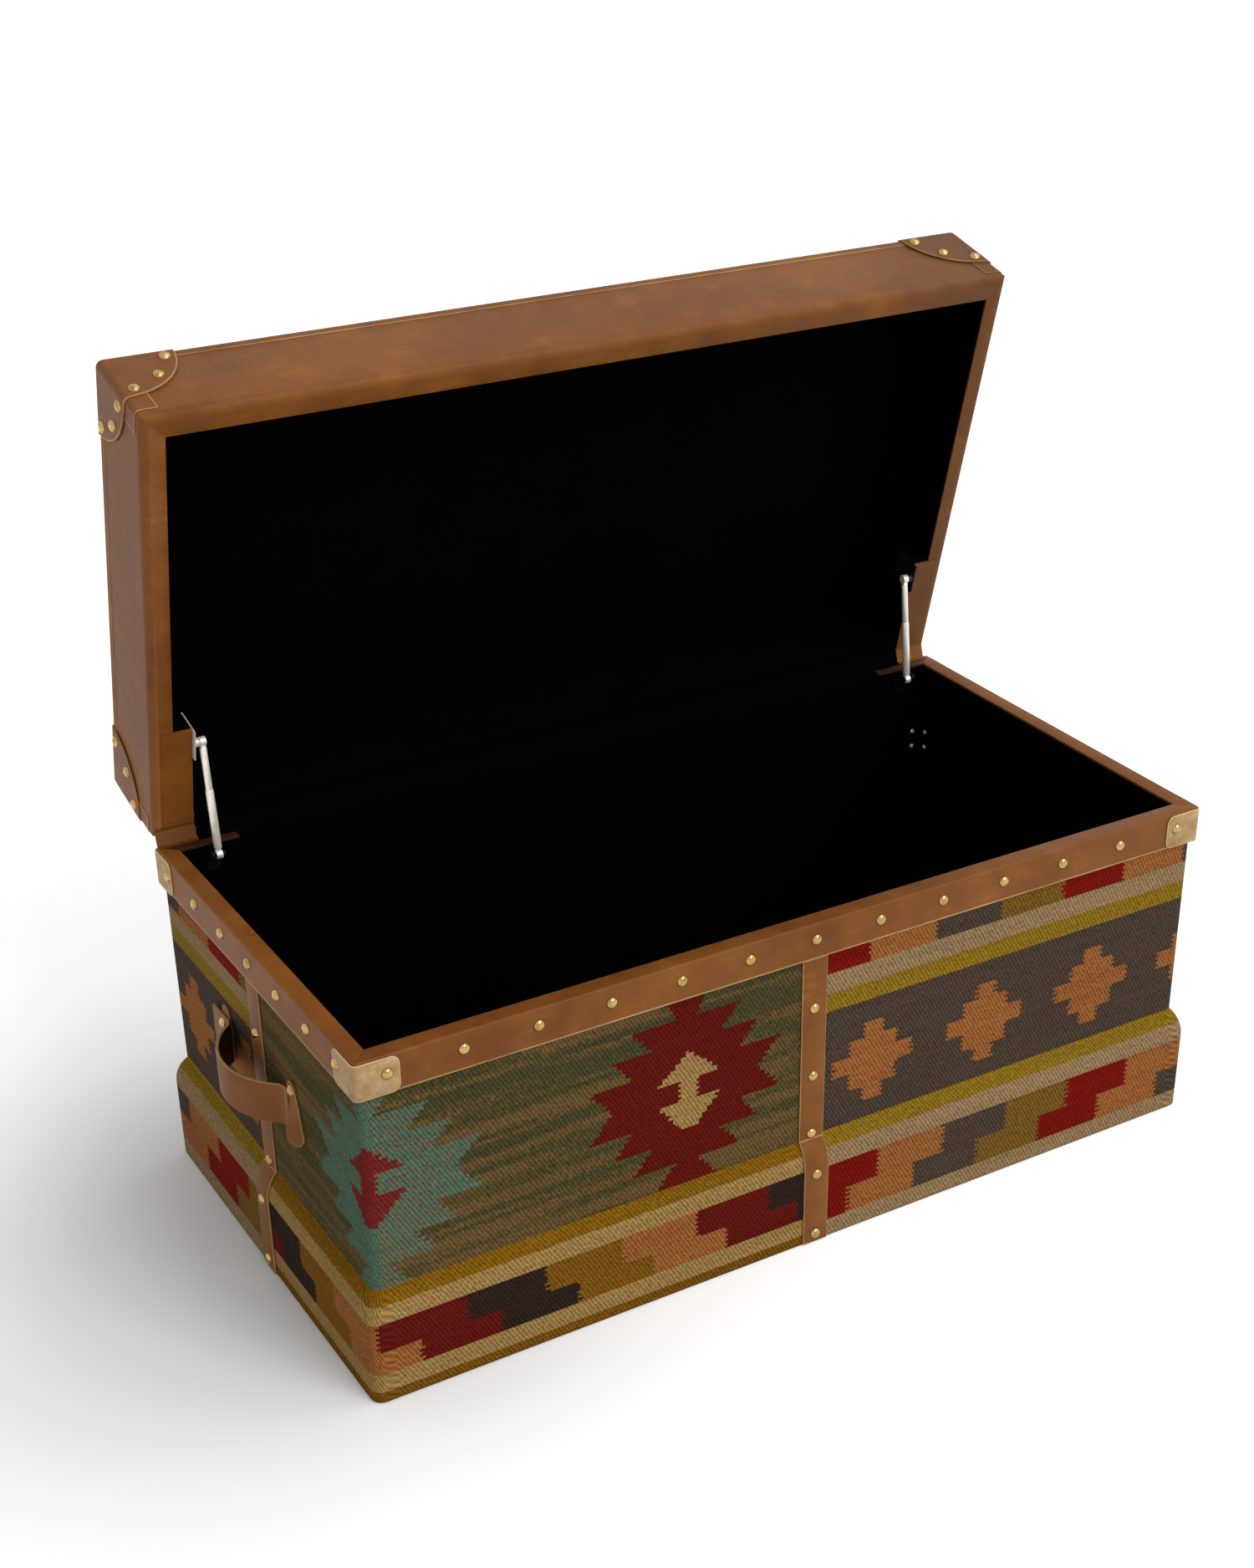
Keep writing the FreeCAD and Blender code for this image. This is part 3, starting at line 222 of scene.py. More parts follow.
def kilimFinish():
    finish = Finish("kilimWool", specular=0.06)
    dyed = finish.node("ShaderNodeAttribute", {"attribute_name": "dyedYarn"}, {})
    thread = finish.node("ShaderNodeUVMap", {"uv_map": "threadMap"}, {})
    twill = finish.node("ShaderNodeTexWave", {"wave_type": "BANDS", "bands_direction": "DIAGONAL"}, {
        "Vector": finish.stretch(thread, (1.0, 0.57, 0.0)), "Scale": 140.0, "Distortion": 2.0,
        "Detail": 2.0, "Detail Scale": 1.2, "Detail Roughness": 0.7})
    fibre = finish.noise(finish.stretch(thread, (200.0, 300.0, 1.0)), 1.0, 2.0, 0.75)
    pick = finish.ramp(fibre, 0.34, 0.66)
    mottle = finish.noise(finish.stretch(thread, (230.0, 340.0, 1.0)), 1.0, 2.0, 0.7, "Color")
    abrash = finish.noise(finish.stretch(thread, (5.0, 95.0, 1.0)), 1.0)
    dust = finish.noise(thread, 7.0)
    light = 0.16 + twill * 0.56 + pick * 0.5 + abrash * 0.4 + dust * 0.2
    colour = finish.dim(finish.blend(0.5, dyed, mottle, "OVERLAY"), light)
    return finish.surface(colour, 0.88 + pick * 0.1, twill * 0.5 + pick * 0.7, 0.001, 0.6)


def liningFinish():
    finish = Finish("blackLining", specular=0.02)
    place = finish.place()
    weave = finish.noise(place, 900.0, 2.0)
    nap = finish.noise(place, 14.0)
    colour = finish.blend(nap, tint(1, 1, 1), tint(3, 3, 3))
    return finish.surface(colour, 0.88 + weave * 0.1, weave + nap, 0.0005, 0.4)


def metalFinish(name, low, high, rough, spread, grain=(1.0, 1.0, 1.0), metal=1.0):
    finish = Finish(name, metal=metal)
    place = finish.place()
    cloud = finish.noise(place, 120.0, 4.0)
    brushed = finish.noise(finish.stretch(place, grain), 40.0)
    colour = finish.blend(finish.ramp(cloud, 0.35, 0.65), tint(*low), tint(*high))
    return finish.surface(colour, rough + brushed * spread, brushed, 0.0001, 0.3)


def bracketLightAndShadeFinish():
    # painted light: the left bracket is coloured light as a painted highlight, and the right one dark as a
    # painted reflection of the dark hollow
    finish = Finish("bracketLightAndShade", metal=0.3)
    place = finish.place()
    wear = finish.noise(place, 130.0)
    share = finish.ramp(finish.part(place, 0) + wear * 0.05, -0.2, 0.2)
    colour = finish.blend(share, tint(214, 208, 204), tint(20, 19, 19))
    return finish.surface(colour, 0.3 + wear * 0.2, wear, 0.0002, 0.3)


def woodFinish():
    finish = Finish("plainBoard", specular=0.3)
    place = finish.place()
    grain = finish.noise(finish.stretch(place, (3.0, 3.0, 60.0)), 9.0, 6.0, 0.65)
    figure = finish.noise(finish.stretch(place, (1.0, 1.0, 9.0)), 6.0)
    share = finish.ramp(grain * 0.6 + figure * 0.4, 0.35, 0.65)
    colour = finish.blend(share, tint(128, 92, 58), tint(176, 138, 96))
    return finish.surface(colour, 0.6 + grain * 0.2, grain, 0.0008, 0.5)


leathers = [leatherFinish(name, tones) for name, tones in leatherTones.items()]
tanHide, paintedShadeHide, paleHide, gussetShadeHide, rawEdge, creamEdgeAndHighlight = leathers
kilimWool = kilimFinish()
blackLining = liningFinish()
brass = metalFinish("brass", (158, 128, 74), (196, 166, 106), 0.07, 0.06)
chrome = metalFinish("chrome", (240, 234, 218), (250, 246, 234), 0.3, 0.06, metal=0.4)
zincSteel = metalFinish("zincSteel", (120, 120, 122), (178, 178, 176), 0.3, 0.3, (1.0, 8.0, 1.0))
# black painted steel; on the box brackets it stands in as painted shade
blackPaintAndShadeSteel = metalFinish("blackPaintAndShadeSteel", (16, 16, 17), (34, 33, 33), 0.42, 0.25, (1.0, 1.0, 6.0))
bracketLightAndShade = bracketLightAndShadeFinish()
board = woodFinish()
print("materials made:", len(bpy.data.materials))


# Modelling helpers

def soleSelection(piece):
    bpy.ops.object.select_all(action="DESELECT")
    piece.select_set(True)
    bpy.context.view_layer.objects.active = piece


def addShape(name, adder, **settings):
    # a primitive, added with nothing else selected
    bpy.ops.object.select_all(action="DESELECT")
    adder(**settings)
    bpy.context.object.name = name
    return bpy.context.object


def applyPlace():
    bpy.ops.object.transform_apply(location=True, rotation=True, scale=True)


def openEdit(piece, mode, action="DESELECT"):
    soleSelection(piece)
    bpy.ops.object.mode_set(mode="EDIT")
    bpy.ops.mesh.select_mode(type=mode)
    bpy.ops.mesh.select_all(action=action)


def closeEdit():
    bpy.ops.object.mode_set(mode="OBJECT")


def pickWhere(piece, kind, test):
    shape = bmesh.from_edit_mesh(piece.data)
    for item in getattr(shape, kind):
        if test(item):
            item.select_set(True)
    shape.select_flush_mode()
    bmesh.update_edit_mesh(piece.data)


def applyModifier(piece, kind, **settings):
    soleSelection(piece)
    modifier = piece.modifiers.new(kind.title(), kind)
    for key, value in settings.items():
        setattr(modifier, key, value)
    bpy.ops.object.modifier_apply(modifier=modifier.name)


def smoothBy(piece, degrees=38):
    soleSelection(piece)
    bpy.ops.object.shade_smooth_by_angle(angle=math.radians(degrees))


def soften(piece, width, segments=2, finish=-1):
    # eased edges, with the finish of the given material slot where the cut leather shows
    applyModifier(piece, "BEVEL", width=width * mm, segments=segments, limit_method="ANGLE",
                  angle_limit=math.radians(40), use_clamp_overlap=True, material=finish)
    smoothBy(piece)


def thicken(piece, thick, inside=0, edge=0):
    # a flat sheet gets its thickness; its inside and its edge take the finishes with these numbers
    applyModifier(piece, "SOLIDIFY", thickness=thick * mm, offset=-1.0, use_even_offset=True,
                  material_offset=inside, material_offset_rim=edge)


def paleBorder(piece, width, outward):
    # the outer faces get a border of cut leather along their outline
    openEdit(piece, "FACE")
    pickWhere(piece, "faces", outward)
    bpy.ops.mesh.inset(thickness=width * mm, depth=0, use_boundary=True, use_even_offset=True)
    bpy.ops.mesh.select_all(action="INVERT")
    piece.active_material_index = 1
    bpy.ops.object.material_slot_assign()
    closeEdit()


def carve(piece, tool, how):
    applyModifier(piece, "BOOLEAN", operation=how, solver="EXACT", object=tool, material_mode="TRANSFER")
    bpy.data.objects.remove(tool)


def blockBetween(name, low, high):
    middle = [(a + b) / 2 * mm for a, b in zip(low, high)]
    piece = addShape(name, bpy.ops.mesh.primitive_cube_add, size=1.0, location=middle)
    piece.scale = [(b - a) * mm for a, b in zip(low, high)]
    applyPlace()
    return piece


def sideBlock(name, sign, inside, outside, front, back, low, high):
    # a block on the left or the right, by its distances from the middle
    xs = sorted((inside * sign, outside * sign))
    return blockBetween(name, (xs[0], front, low), (xs[1], back, high))


def hollowOut(piece, halfX, halfY):
    # a square well through the whole height
    low, high = 300, 600
    carve(piece, blockBetween("hollow", (-halfX, -halfY, low), (halfX, halfY, high)), "DIFFERENCE")


def bevelWhere(piece, test, width, segments):
    openEdit(piece, "EDGE")
    pickWhere(piece, "edges", test)
    bpy.ops.mesh.bevel(offset=width * mm, segments=segments, affect="EDGES", clamp_overlap=False)
    closeEdit()


def runsAlong(edge, axis):
    here, there = (vertex.co for vertex in edge.verts)
    return all(abs(here[i] - there[i]) < tiny for i in range(3) if i != axis)


def liesAt(edge, level):
    return all(abs(vertex.co.z - level * mm) < tiny for vertex in edge.verts)


def roundedBlock(name, halfX, halfY, low, high, corner, edge=0):
    # a block with round upright corners and, where an edge is given, a round top edge
    piece = blockBetween(name, (-halfX, -halfY, low), (halfX, halfY, high))
    bevelWhere(piece, lambda e: runsAlong(e, 2), corner, facets["upright"])
    if edge:
        bevelWhere(piece, lambda e: liesAt(e, high), edge, facets["topEdge"])
    return piece


def mitredBlock(name, halfX, halfY, low, high, corner, edge):
    # a block whose bottom edges are rounded along each side and meet in mitres at the upright corners
    overhang, above, below, slack = 30, 10, 5, 0.05
    bars = []
    for axis, reachX, reachY in ((0, halfX + overhang, halfY), (1, halfX, halfY + overhang)):
        bar = blockBetween(name, (-reachX, -reachY, low), (reachX, reachY, high + above))
        bevelWhere(bar, lambda e: liesAt(e, low) and runsAlong(e, axis), edge, facets["lidRim"])
        bars.append(bar)
    carve(*bars, "INTERSECT")
    column = roundedBlock("column", halfX + slack, halfY + slack, low - below, high, corner + slack)
    carve(bars[0], column, "INTERSECT")
    return bars[0]


def keepSide(piece, point, outward):
    # cuts along a plane and drops what lies beyond it
    openEdit(piece, "FACE", "SELECT")
    bpy.ops.mesh.bisect(plane_co=[c * mm for c in point], plane_no=outward, use_fill=True, clear_outer=True)
    closeEdit()


def scoreAt(piece, *levels):
    # cuts the faces along level lines and keeps all of them
    openEdit(piece, "FACE")
    for level in levels:
        bpy.ops.mesh.select_all(action="SELECT")
        bpy.ops.mesh.bisect(plane_co=(0, 0, level * mm), plane_no=(0, 0, 1))
    closeEdit()


def copyOf(piece, name):
    twin = piece.copy()
    twin.data = piece.data.copy()
    twin.name = name
    scene.collection.objects.link(twin)
    return twin


def joinAll(pieces, name):
    soleSelection(pieces[0])
    for piece in pieces:
        piece.select_set(True)
    bpy.ops.object.join()
    pieces[0].name = name
    return pieces[0]


def dress(piece, *finishes):
    piece.data.materials.clear()
    for finish in finishes:
        piece.data.materials.append(finish)


def settle(piece, body, slot, *nodes):
    # lid pieces are modelled closed and stand open at rest
    if body == "lid":
        piece.data.transform(lidTurn)
    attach(piece, body)
    if nodes:
        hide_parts(*nodes)


def areaOf(piece):
    return sum(face.area for face in piece.data.polygons)


# names of the corners by their signs along X and Y
cornerNames = {(-1, -1): "front_left", (1, -1): "front_right", (-1, 1): "back_left", (1, 1): "back_right"}
lidSwing = {"angle": 76, "hingeY": 255, "hingeZ": 382}
hingePoint = Vector((0, lidSwing["hingeY"] * mm, lidSwing["hingeZ"] * mm))
lidTurn = (Matrix.Translation(hingePoint) @ Matrix.Rotation(-math.radians(lidSwing["angle"]), 4, "X")
           @ Matrix.Translation(-hingePoint))


def mitreInFour(whole, label, gap):
    # four sides cut from one ring along its corner mitres
    ridge = 250
    slant = math.sqrt(0.5)
    cuts = {}
    for side, sign in (("front", -1), ("back", 1)):
        cuts[side] = [((ridge * end, gap * sign, 0), (slant * end, -slant * sign, 0)) for end in (-1, 1)]
        cuts[side].append(((0, 0, 0), (0, -sign, 0)))
    for side, sign in (("left", -1), ("right", 1)):
        middle = ((ridge + gap) * sign, 0, 0)
        cuts[side] = [(middle, (-slant * sign, slant * end, 0)) for end in (-1, 1)]
    sides = {}
    for side, planes in cuts.items():
        sides[side] = copyOf(whole, label + side.title())
        for point, outward in planes:
            keepSide(sides[side], point, outward)
    bpy.data.objects.remove(whole)
    return sides


# Kilim cover: four sheets stretched round the corners and over the plinth

kilim = {
    "cell": 3.0, "wallX": 497.2, "cornerX": 487.0, "cornerY": 237.0, "foot": 12.4, "shoulder": 44.2,
    "upright": 94.0, "hem": 1.0, "top": 362.0, "thick": 2.0, "join": 0.3, "footBend": 0.2, "arcSteps": 6,
    "arcReach": 13, "halfX": 500, "halfY": 250,
}
# each tier from its low to its high level, with half its width at both
tiers = {
    "medallion": [(125, 152, 36, 13), (152, 178, 63, 41), (178, 206, 84, 63), (206, 236, 111, 84),
                  (236, 267, 84, 111), (267, 294, 63, 84), (294, 321, 41, 63), (321, 345, 12, 24)],
    "arrow": [(190, 224, 8, 36), (224, 248, 11, 11), (248, 281, 36, 0)],
}
blockWalk = {"A": ("deepRed", "soot", "ochre", "salmon"),
             "B": ("scarlet", "salmon", "charcoal", "oliveBrown")}
# figures: shape, place along the cloth, rise, size and colour
medallionPlan = {
    "bands": ((14, "hemBrown"), (33, "cream"), (93, "A"), (111, "cream"), (125, "mustard")),
    "blockSplit": 60, "upperStart": 7, "lowerStart": 43, "blockPitch": 87, "endStretch": 1.05,
    "figures": (("arrow", 3, 8, 1.15, "crimson"), ("medallion", 5, 0, 1.08, "teal"),
                ("arrow", 353, 0, 1.0, "cream"), ("medallion", 350, 0, 1.0, "deepRed")),
}
crossPlan = {
    "bands": ("tan", "B", "tan", "yellow", "cross", "yellow", "tan"), "blockPitch": 85.5, "topPitch": 83.3,
    "crossPitch": 146, "steps": ((50, 10), (29, 30), (12, 48)),
}
crossFront = {"tops": (22, 90, 112, 127.5, 271, 293, 317.5), "blockStart": -5, "blockStep": -38,
              "topStart": -14, "crossStart": 77, "crossLevel": 198, "middle": kilim["halfX"], "sense": -1}
crossEnd = {"tops": (24, 92, 116, 131, 278, 300, 319), "blockStart": 43, "blockStep": 39,
            "topStart": 38, "crossStart": 40, "crossLevel": 206, "middle": kilim["halfY"], "sense": 1}


def scatter(a, b):
    # a steady random number from two whole numbers
    value = math.sin(a * 127.1 + b * 311.7) * 43758.5453
    return value - math.floor(value)


def drift(x, y):
    # smooth noise between the steady random numbers
    column, row = math.floor(x), math.floor(y)
    fx, fy = x - column, y - row
    fx, fy = fx * fx * (3 - 2 * fx), fy * fy * (3 - 2 * fy)
    low = scatter(column, row) * (1 - fx) + scatter(column + 1, row) * fx
    high = scatter(column, row + 1) * (1 - fx) + scatter(column + 1, row + 1) * fx
    return low * (1 - fy) + high * fy


def teeth(row, seed):
    # each second row of the weft reaches further, and each a little differently
    return 3.2 * (row % 2) + 1.6 * scatter(row, seed) - 2.2


def inTiers(kind, across, height, size):
    across = abs(across) / size
    for low, high, lowHalf, highHalf in tiers[kind]:
        if low <= height < high:
            share = (height - low) / (high - low)
            return across < lowHalf + (highHalf - lowHalf) * share
    return False


def bandAt(height, bands, above):
    return next((kind for top, kind in bands if height < top), above)


def blockColour(walk, along, start, pitch):
    return blockWalk[walk][math.floor((along - start) / pitch) % 4]


def fieldColour(along, height, row):
    # streaky olive ground: bands that thin out and fade along the weft
    band = drift(along / 130 + 7, height / 6)
    broad = drift(along / 260 + 3, height / 19)
    value = band * 0.6 + broad * 0.4 + 0.2 * (scatter(round(along / 3), row) - 0.5)
    if value > 0.56:
        return "brown"
    return "olive" if value > 0.4 else "moss"


def medallionCloth(along, height, row):
    # along is 0 at the corner, positive on the long face and negative on the end
    plan = medallionPlan
    shift = teeth(row, 5)
    band = bandAt(height, plan["bands"], "field")
    if band == "A":
        run = along if along > 0 else along * plan["endStretch"]
        start = plan["upperStart"] if height > plan["blockSplit"] else plan["lowerStart"]
        return blockColour("A", run + shift, start, plan["blockPitch"])
    if band != "field":
        return band
    for kind, place, rise, size, colour in plan["figures"]:
        if inTiers(kind, along + shift - place, height - rise, size):
            if colour == "teal":
                # sage threads show where the dye has faded
                faded = 0.2 + 0.7 * drift(along / 60 + 2, height / 70) if along > 12 else 0.12
                return "sage" if scatter(round(along / 3) + 40, row) < faded else "teal"
            return colour
    return fieldColour(along, height, row)


def crossCloth(along, height, row, plan):
    # counted from the middle of one side, where two sheets meet
    run = plan["middle"] + plan["sense"] * along + teeth(row, 9)
    tops = plan["tops"]
    band = bandAt(height, zip(tops, crossPlan["bands"]), "topB")
    if band == "B":
        step = plan["blockStep"] if height < (tops[0] + tops[1]) / 2 else 0
        return blockColour("B", run, plan["blockStart"] + step, crossPlan["blockPitch"])
    if band == "topB":
        return blockColour("B", run, plan["topStart"], crossPlan["topPitch"])
    if band != "cross":
        return band
    pitch = crossPlan["crossPitch"]
    across = abs((run - plan["crossStart"] + pitch / 2) % pitch - pitch / 2)
    rise = abs(height - plan["crossLevel"])
    inCross = any(across < half and rise < tall for half, tall in crossPlan["steps"])
    return "salmon" if inCross else "charcoal"


def evenly(low, high):
    # even steps of about one cell, from low to just short of high
    steps = round(abs(high - low) / kilim["cell"])
    return [low + (high - low) * i / steps for i in range(steps)]


def kilimSection():
    # outward offset and height, from the hem over the shoulder to the hidden top edge
    foot, radius, upright, top = kilim["foot"], kilim["shoulder"], kilim["upright"], kilim["top"]
    rows = [(foot, height) for height in evenly(kilim["hem"], upright)]
    sweep = math.acos((radius - foot) / radius)
    for run in evenly(0.0, radius * sweep):
        angle = run / radius
        rows.append((foot - radius + radius * math.cos(angle), upright + radius * math.sin(angle)))
    wallLow = upright + radius * math.sin(sweep)
    return rows + [(0.0, height) for height in evenly(wallLow, top) + [top]]


def kilimSheet(name, signX, signY, plan):
    # columns run from one join to the next, round the corner with the given signs
    join, cornerX, cornerY = kilim["join"], kilim["cornerX"], kilim["cornerY"]
    radius = kilim["wallX"] - cornerX
    runs = [("long", value) for value in evenly(join, cornerX)]
    runs += [("arc", i / kilim["arcSteps"]) for i in range(kilim["arcSteps"])]
    runs += [("end", value) for value in evenly(cornerY, join) + [join]]
    section = kilimSection()
    points, alongs = [], []
    for offset, height in section:
        bend = radius + offset * kilim["footBend"]
        for kind, value in runs:
            x, y = cornerX + radius + offset, cornerY + radius + offset
            if kind == "long":
                x, fromCorner = value, kilim["halfX"] - value
            elif kind == "end":
                y, fromCorner = value, value - kilim["halfY"]
            else:
                angle = math.pi / 2 * (1 - value)
                x -= bend * (1 - math.cos(angle))
                y -= bend * (1 - math.sin(angle))
                fromCorner = kilim["arcReach"] * (1 - 2 * value)
            points.append((x * signX * mm, y * signY * mm, height * mm))
            alongs.append(fromCorner)
    columns = len(runs)
    length = [0.0]
    for (a, b), (c, e) in zip(section, section[1:]):
        length.append(length[-1] + math.hypot(c - a, e - b))
    faces, colours = [], []
    for j in range(len(section) - 1):
        for i in range(columns - 1):
            corner = j * columns + i
            quad = [corner, corner + 1, corner + columns + 1, corner + columns]
            if signX * signY > 0:
                quad.reverse()
            faces.append(quad)
            along = (alongs[corner] + alongs[corner + 1]) / 2
            height = (section[j][1] + section[j + 1][1]) / 2
            colours.append(crossCloth(along, height, j, plan) if plan else medallionCloth(along, height, j))
    mesh = bpy.data.meshes.new(name)
    mesh.from_pydata(points, [], faces)
    mesh.uv_layers.new(name="threadMap")
    mesh.color_attributes.new("dyedYarn", "FLOAT_COLOR", "CORNER")
    threadMap = mesh.uv_layers["threadMap"]
    dyed = mesh.color_attributes["dyedYarn"]
    linear = {key: tint(*value) for key, value in yarn.items()}
    for face, colour in zip(mesh.polygons, colours):
        for corner in face.loop_indices:
            point = mesh.loops[corner].vertex_index
            threadMap.data[corner].uv = (alongs[point] * signX * signY * mm, length[point // columns] * mm)
            dyed.data[corner].color = linear[colour]
    piece = bpy.data.objects.new(name, mesh)
    scene.collection.objects.link(piece)
    area = areaOf(piece)
    thicken(piece, kilim["thick"])
    soleSelection(piece)
    bpy.ops.object.shade_smooth()
    dress(piece, kilimWool)
    wide = cornerX + cornerY - 2 * join + (radius + kilim["foot"]) * math.pi / 2
    return piece, (wide * mm, length[-1] * mm), area


for (signX, signY), corner in cornerNames.items():
    # medallions at two corners and crosses at the others
    plan = None if signX == signY else crossFront if signY < 0 else crossEnd
    cloth, flat, area = kilimSheet("kilim" + corner.title().replace("_", ""), signX, signY, plan)
    settle(cloth, "box", "kilim", "kilim_" + corner)
print("kilim sheets done")


# Leather binding of the rim, mitred at the corners

rim = {"halfX": 500, "halfY": 250, "low": 342, "high": 382, "corner": 4.5, "edge": 2, "leather": 2.6,
       "width": 20, "hem": 1.8, "mitre": 0.08, "ease": 1.0, "below": 20}
ring = roundedBlock("rim", rim["halfX"], rim["halfY"], rim["low"], rim["high"], rim["corner"], rim["edge"])
under = roundedBlock("under", rim["halfX"] - rim["leather"], rim["halfY"] - rim["leather"],
                     rim["low"] - rim["below"], rim["high"] - rim["leather"], rim["corner"] - rim["leather"])
carve(ring, under, "DIFFERENCE")
hollowOut(ring, rim["halfX"] - rim["width"], rim["halfY"] - rim["width"])
hemLevel = rim["low"] + rim["hem"]
for side, piece in mitreInFour(ring, "rim", rim["mitre"]).items():
    soften(piece, rim["ease"])
    # the cut edge of the leather shows as a pale hem, and the back piece's top and inner face take the dark
    # hide as painted shade under the lid
    scoreAt(piece, hemLevel)
    dress(piece, tanHide, rawEdge, paintedShadeHide)
    for face in piece.data.polygons:
        cutEdge = face.normal.z < -0.2 or face.center.z < hemLevel * mm
        face.material_index = 1 if cutEdge else 0
        if side == "back" and (face.normal.z > 0.5 or face.normal.y < -0.3):
            face.material_index = 2
    settle(piece, "box", "tan_leather", "rim_" + side)

caps = {"inner": 0.2, "outer": 1.8, "low": 342, "high": 380.5, "reach": 45, "round": 9, "corner": 4.5,
        "shortEdge": 2.2, "ease": 0.7}
capEnds = (rim["halfX"] - caps["reach"], rim["halfY"] - caps["reach"])


def cornerFold(name, halfX, halfY, spec):
    # a thin skin folded round the plan, parted into its four corners
    shell = []
    for label, grow, past in ((name, spec["outer"], 0), ("inner", spec["inner"], 10)):
        shell.append(roundedBlock(label, halfX + grow, halfY + grow, spec["low"] - past, spec["high"] + past,
                                  spec["corner"] + grow))
    carve(*shell, "DIFFERENCE")
    pieces = []
    for signX, signY in cornerNames:
        piece = copyOf(shell[0], name)
        keepSide(piece, ((halfX - spec["reach"]) * signX, 0, 0), (-signX, 0, 0))
        keepSide(piece, (0, (halfY - spec["reach"]) * signY, 0), (0, -signY, 0))
        pieces.append(piece)
    bpy.data.objects.remove(shell[0])
    return pieces


def atCapEnd(edge):
    # the short edges at both ends of a cap
    return edge.calc_length() < caps["shortEdge"] * mm and any(
        all(abs(abs(v.co[i]) - capEnds[i] * mm) < tiny for v in edge.verts) for i in (0, 1))


capCorners = cornerFold("cap", rim["halfX"], rim["halfY"], caps)
for piece in capCorners:
    bevelWhere(piece, atCapEnd, caps["round"], facets["capEnd"])
rimCaps = joinAll(capCorners, "rimCaps")
# the caps' eased edges take the cream edge: cut leather, lightened further as a painted highlight
dress(rimCaps, paleHide, creamEdgeAndHighlight)
soften(rimCaps, caps["ease"], 2, 1)
settle(rimCaps, "box", "pale_leather", "rim_caps")
print("rim and caps done")


# Straps down the middle of each side

def ribbonAlong(name, path, across, outward, *finishes):
    # a flat band drawn out point by point, with its faces turned to the given side
    piece = addShape(name, bpy.ops.mesh.primitive_plane_add, size=1.0, location=(0, 0, 0))
    half = Vector(across) * 0.5 * mm
    start, after = Vector(path[0]) * mm, Vector(path[1]) * mm
    for vertex, corner in zip(piece.data.vertices, (start - half, start + half, after - half, after + half)):
        vertex.co = corner
    for here, there in zip(path[1:], path[2:]):
        openEdit(piece, "EDGE")
        spot = Vector(here) * mm
        pickWhere(piece, "edges", lambda e: ((e.verts[0].co + e.verts[1].co) / 2 - spot).length < tiny)
        step = (Vector(there) - Vector(here)) * mm
        bpy.ops.mesh.extrude_region_move(TRANSFORM_OT_translate={"value": step})
        closeEdit()
    openEdit(piece, "FACE", "SELECT")
    bpy.ops.mesh.normals_make_consistent(inside=False)
    shape = bmesh.from_edit_mesh(piece.data)
    shape.normal_update()
    if sum(face.normal.dot(Vector(outward)) for face in shape.faces) < 0:
        bpy.ops.mesh.flip_normals()
    closeEdit()
    dress(piece, *finishes)
    return piece


strap = {"width": 30, "leather": 2, "face": 249.4, "centre": 215.4, "level": 94, "radius": 46.4, "low": 1,
         "middle": 240, "high": 341.8, "steps": 8, "endShift": 250, "ease": 0.8,
         "wallStuds": (284, 203, 132.2), "footStuds": (88, 12)}


def strapPath(shift):
    # the strap's outer face from the top down over the shoulder to the foot
    face, centre = strap["face"] + shift, strap["centre"] + shift
    radius, level = strap["radius"], strap["level"]
    sweep = math.acos((face - centre) / radius)
    path = [(face, strap["high"]), (face, strap["middle"]), (face, level + radius * math.sin(sweep))]
    for i in range(1, strap["steps"] + 1):
        angle = sweep * (1 - i / strap["steps"])
        path.append((centre + radius * math.cos(angle), level + radius * math.sin(angle)))
    return path + [(centre + radius, strap["low"])]


for side, (outX, outY) in {"front": (0, -1), "back": (0, 1), "left": (-1, 0), "right": (1, 0)}.items():
    shift = strap["endShift"] if outX else 0
    path = [(reach * outX, reach * outY, height) for reach, height in strapPath(shift)]
    width = (0, strap["width"], 0) if outX else (strap["width"], 0, 0)
    band = ribbonAlong("strap" + side.title(), path, width, (outX, outY, 0), tanHide, rawEdge)
    thicken(band, strap["leather"], edge=1)
    soften(band, strap["ease"], 2, 1)
    settle(band, "box", "tan_leather", side + "_strap")
print("straps done")


# Handles: a bowed leather band with a tab across each foot

handle = {"width": 45, "leather": 3.5, "inside": 500.2, "radius": 80.99, "centre": 453.4, "frontEnd": 77,
          "backEnd": 112, "level": 240, "steps": 24, "bendShare": 0.96, "lead": 4, "ease": 0.9}
tab = {"low": 497.4, "high": 500.0, "offset": 84, "half": 10, "endRound": 9.95, "bottom": 206.5,
       "top": 273.5, "pivot": 263.5, "tilt": 16, "curl": 32, "curlFrom": 255, "curlTo": 220,
       "cuts": (250, 244, 238, 232, 226, 220), "ease": 0.6,
       "studs": ((-84, 263.5, 500.0), (84, 254, 503.7), (84, 236, 503.7))}


def handlePath():
    # outer face of the band from the front foot round the bow to the back foot
    outer = handle["radius"] + handle["leather"]
    face = handle["inside"] + handle["leather"]
    bend = math.acos((face - handle["centre"]) / outer)
    lead = outer * math.sin(bend) + handle["lead"]
    path = [(face, -handle["frontEnd"]), (face, -lead)]
    for i in range(handle["steps"] + 1):
        angle = bend * handle["bendShare"] * (2 * i / handle["steps"] - 1)
        path.append((handle["centre"] + outer * math.cos(angle), outer * math.sin(angle)))
    return path + [(face, lead), (face, handle["backEnd"])]


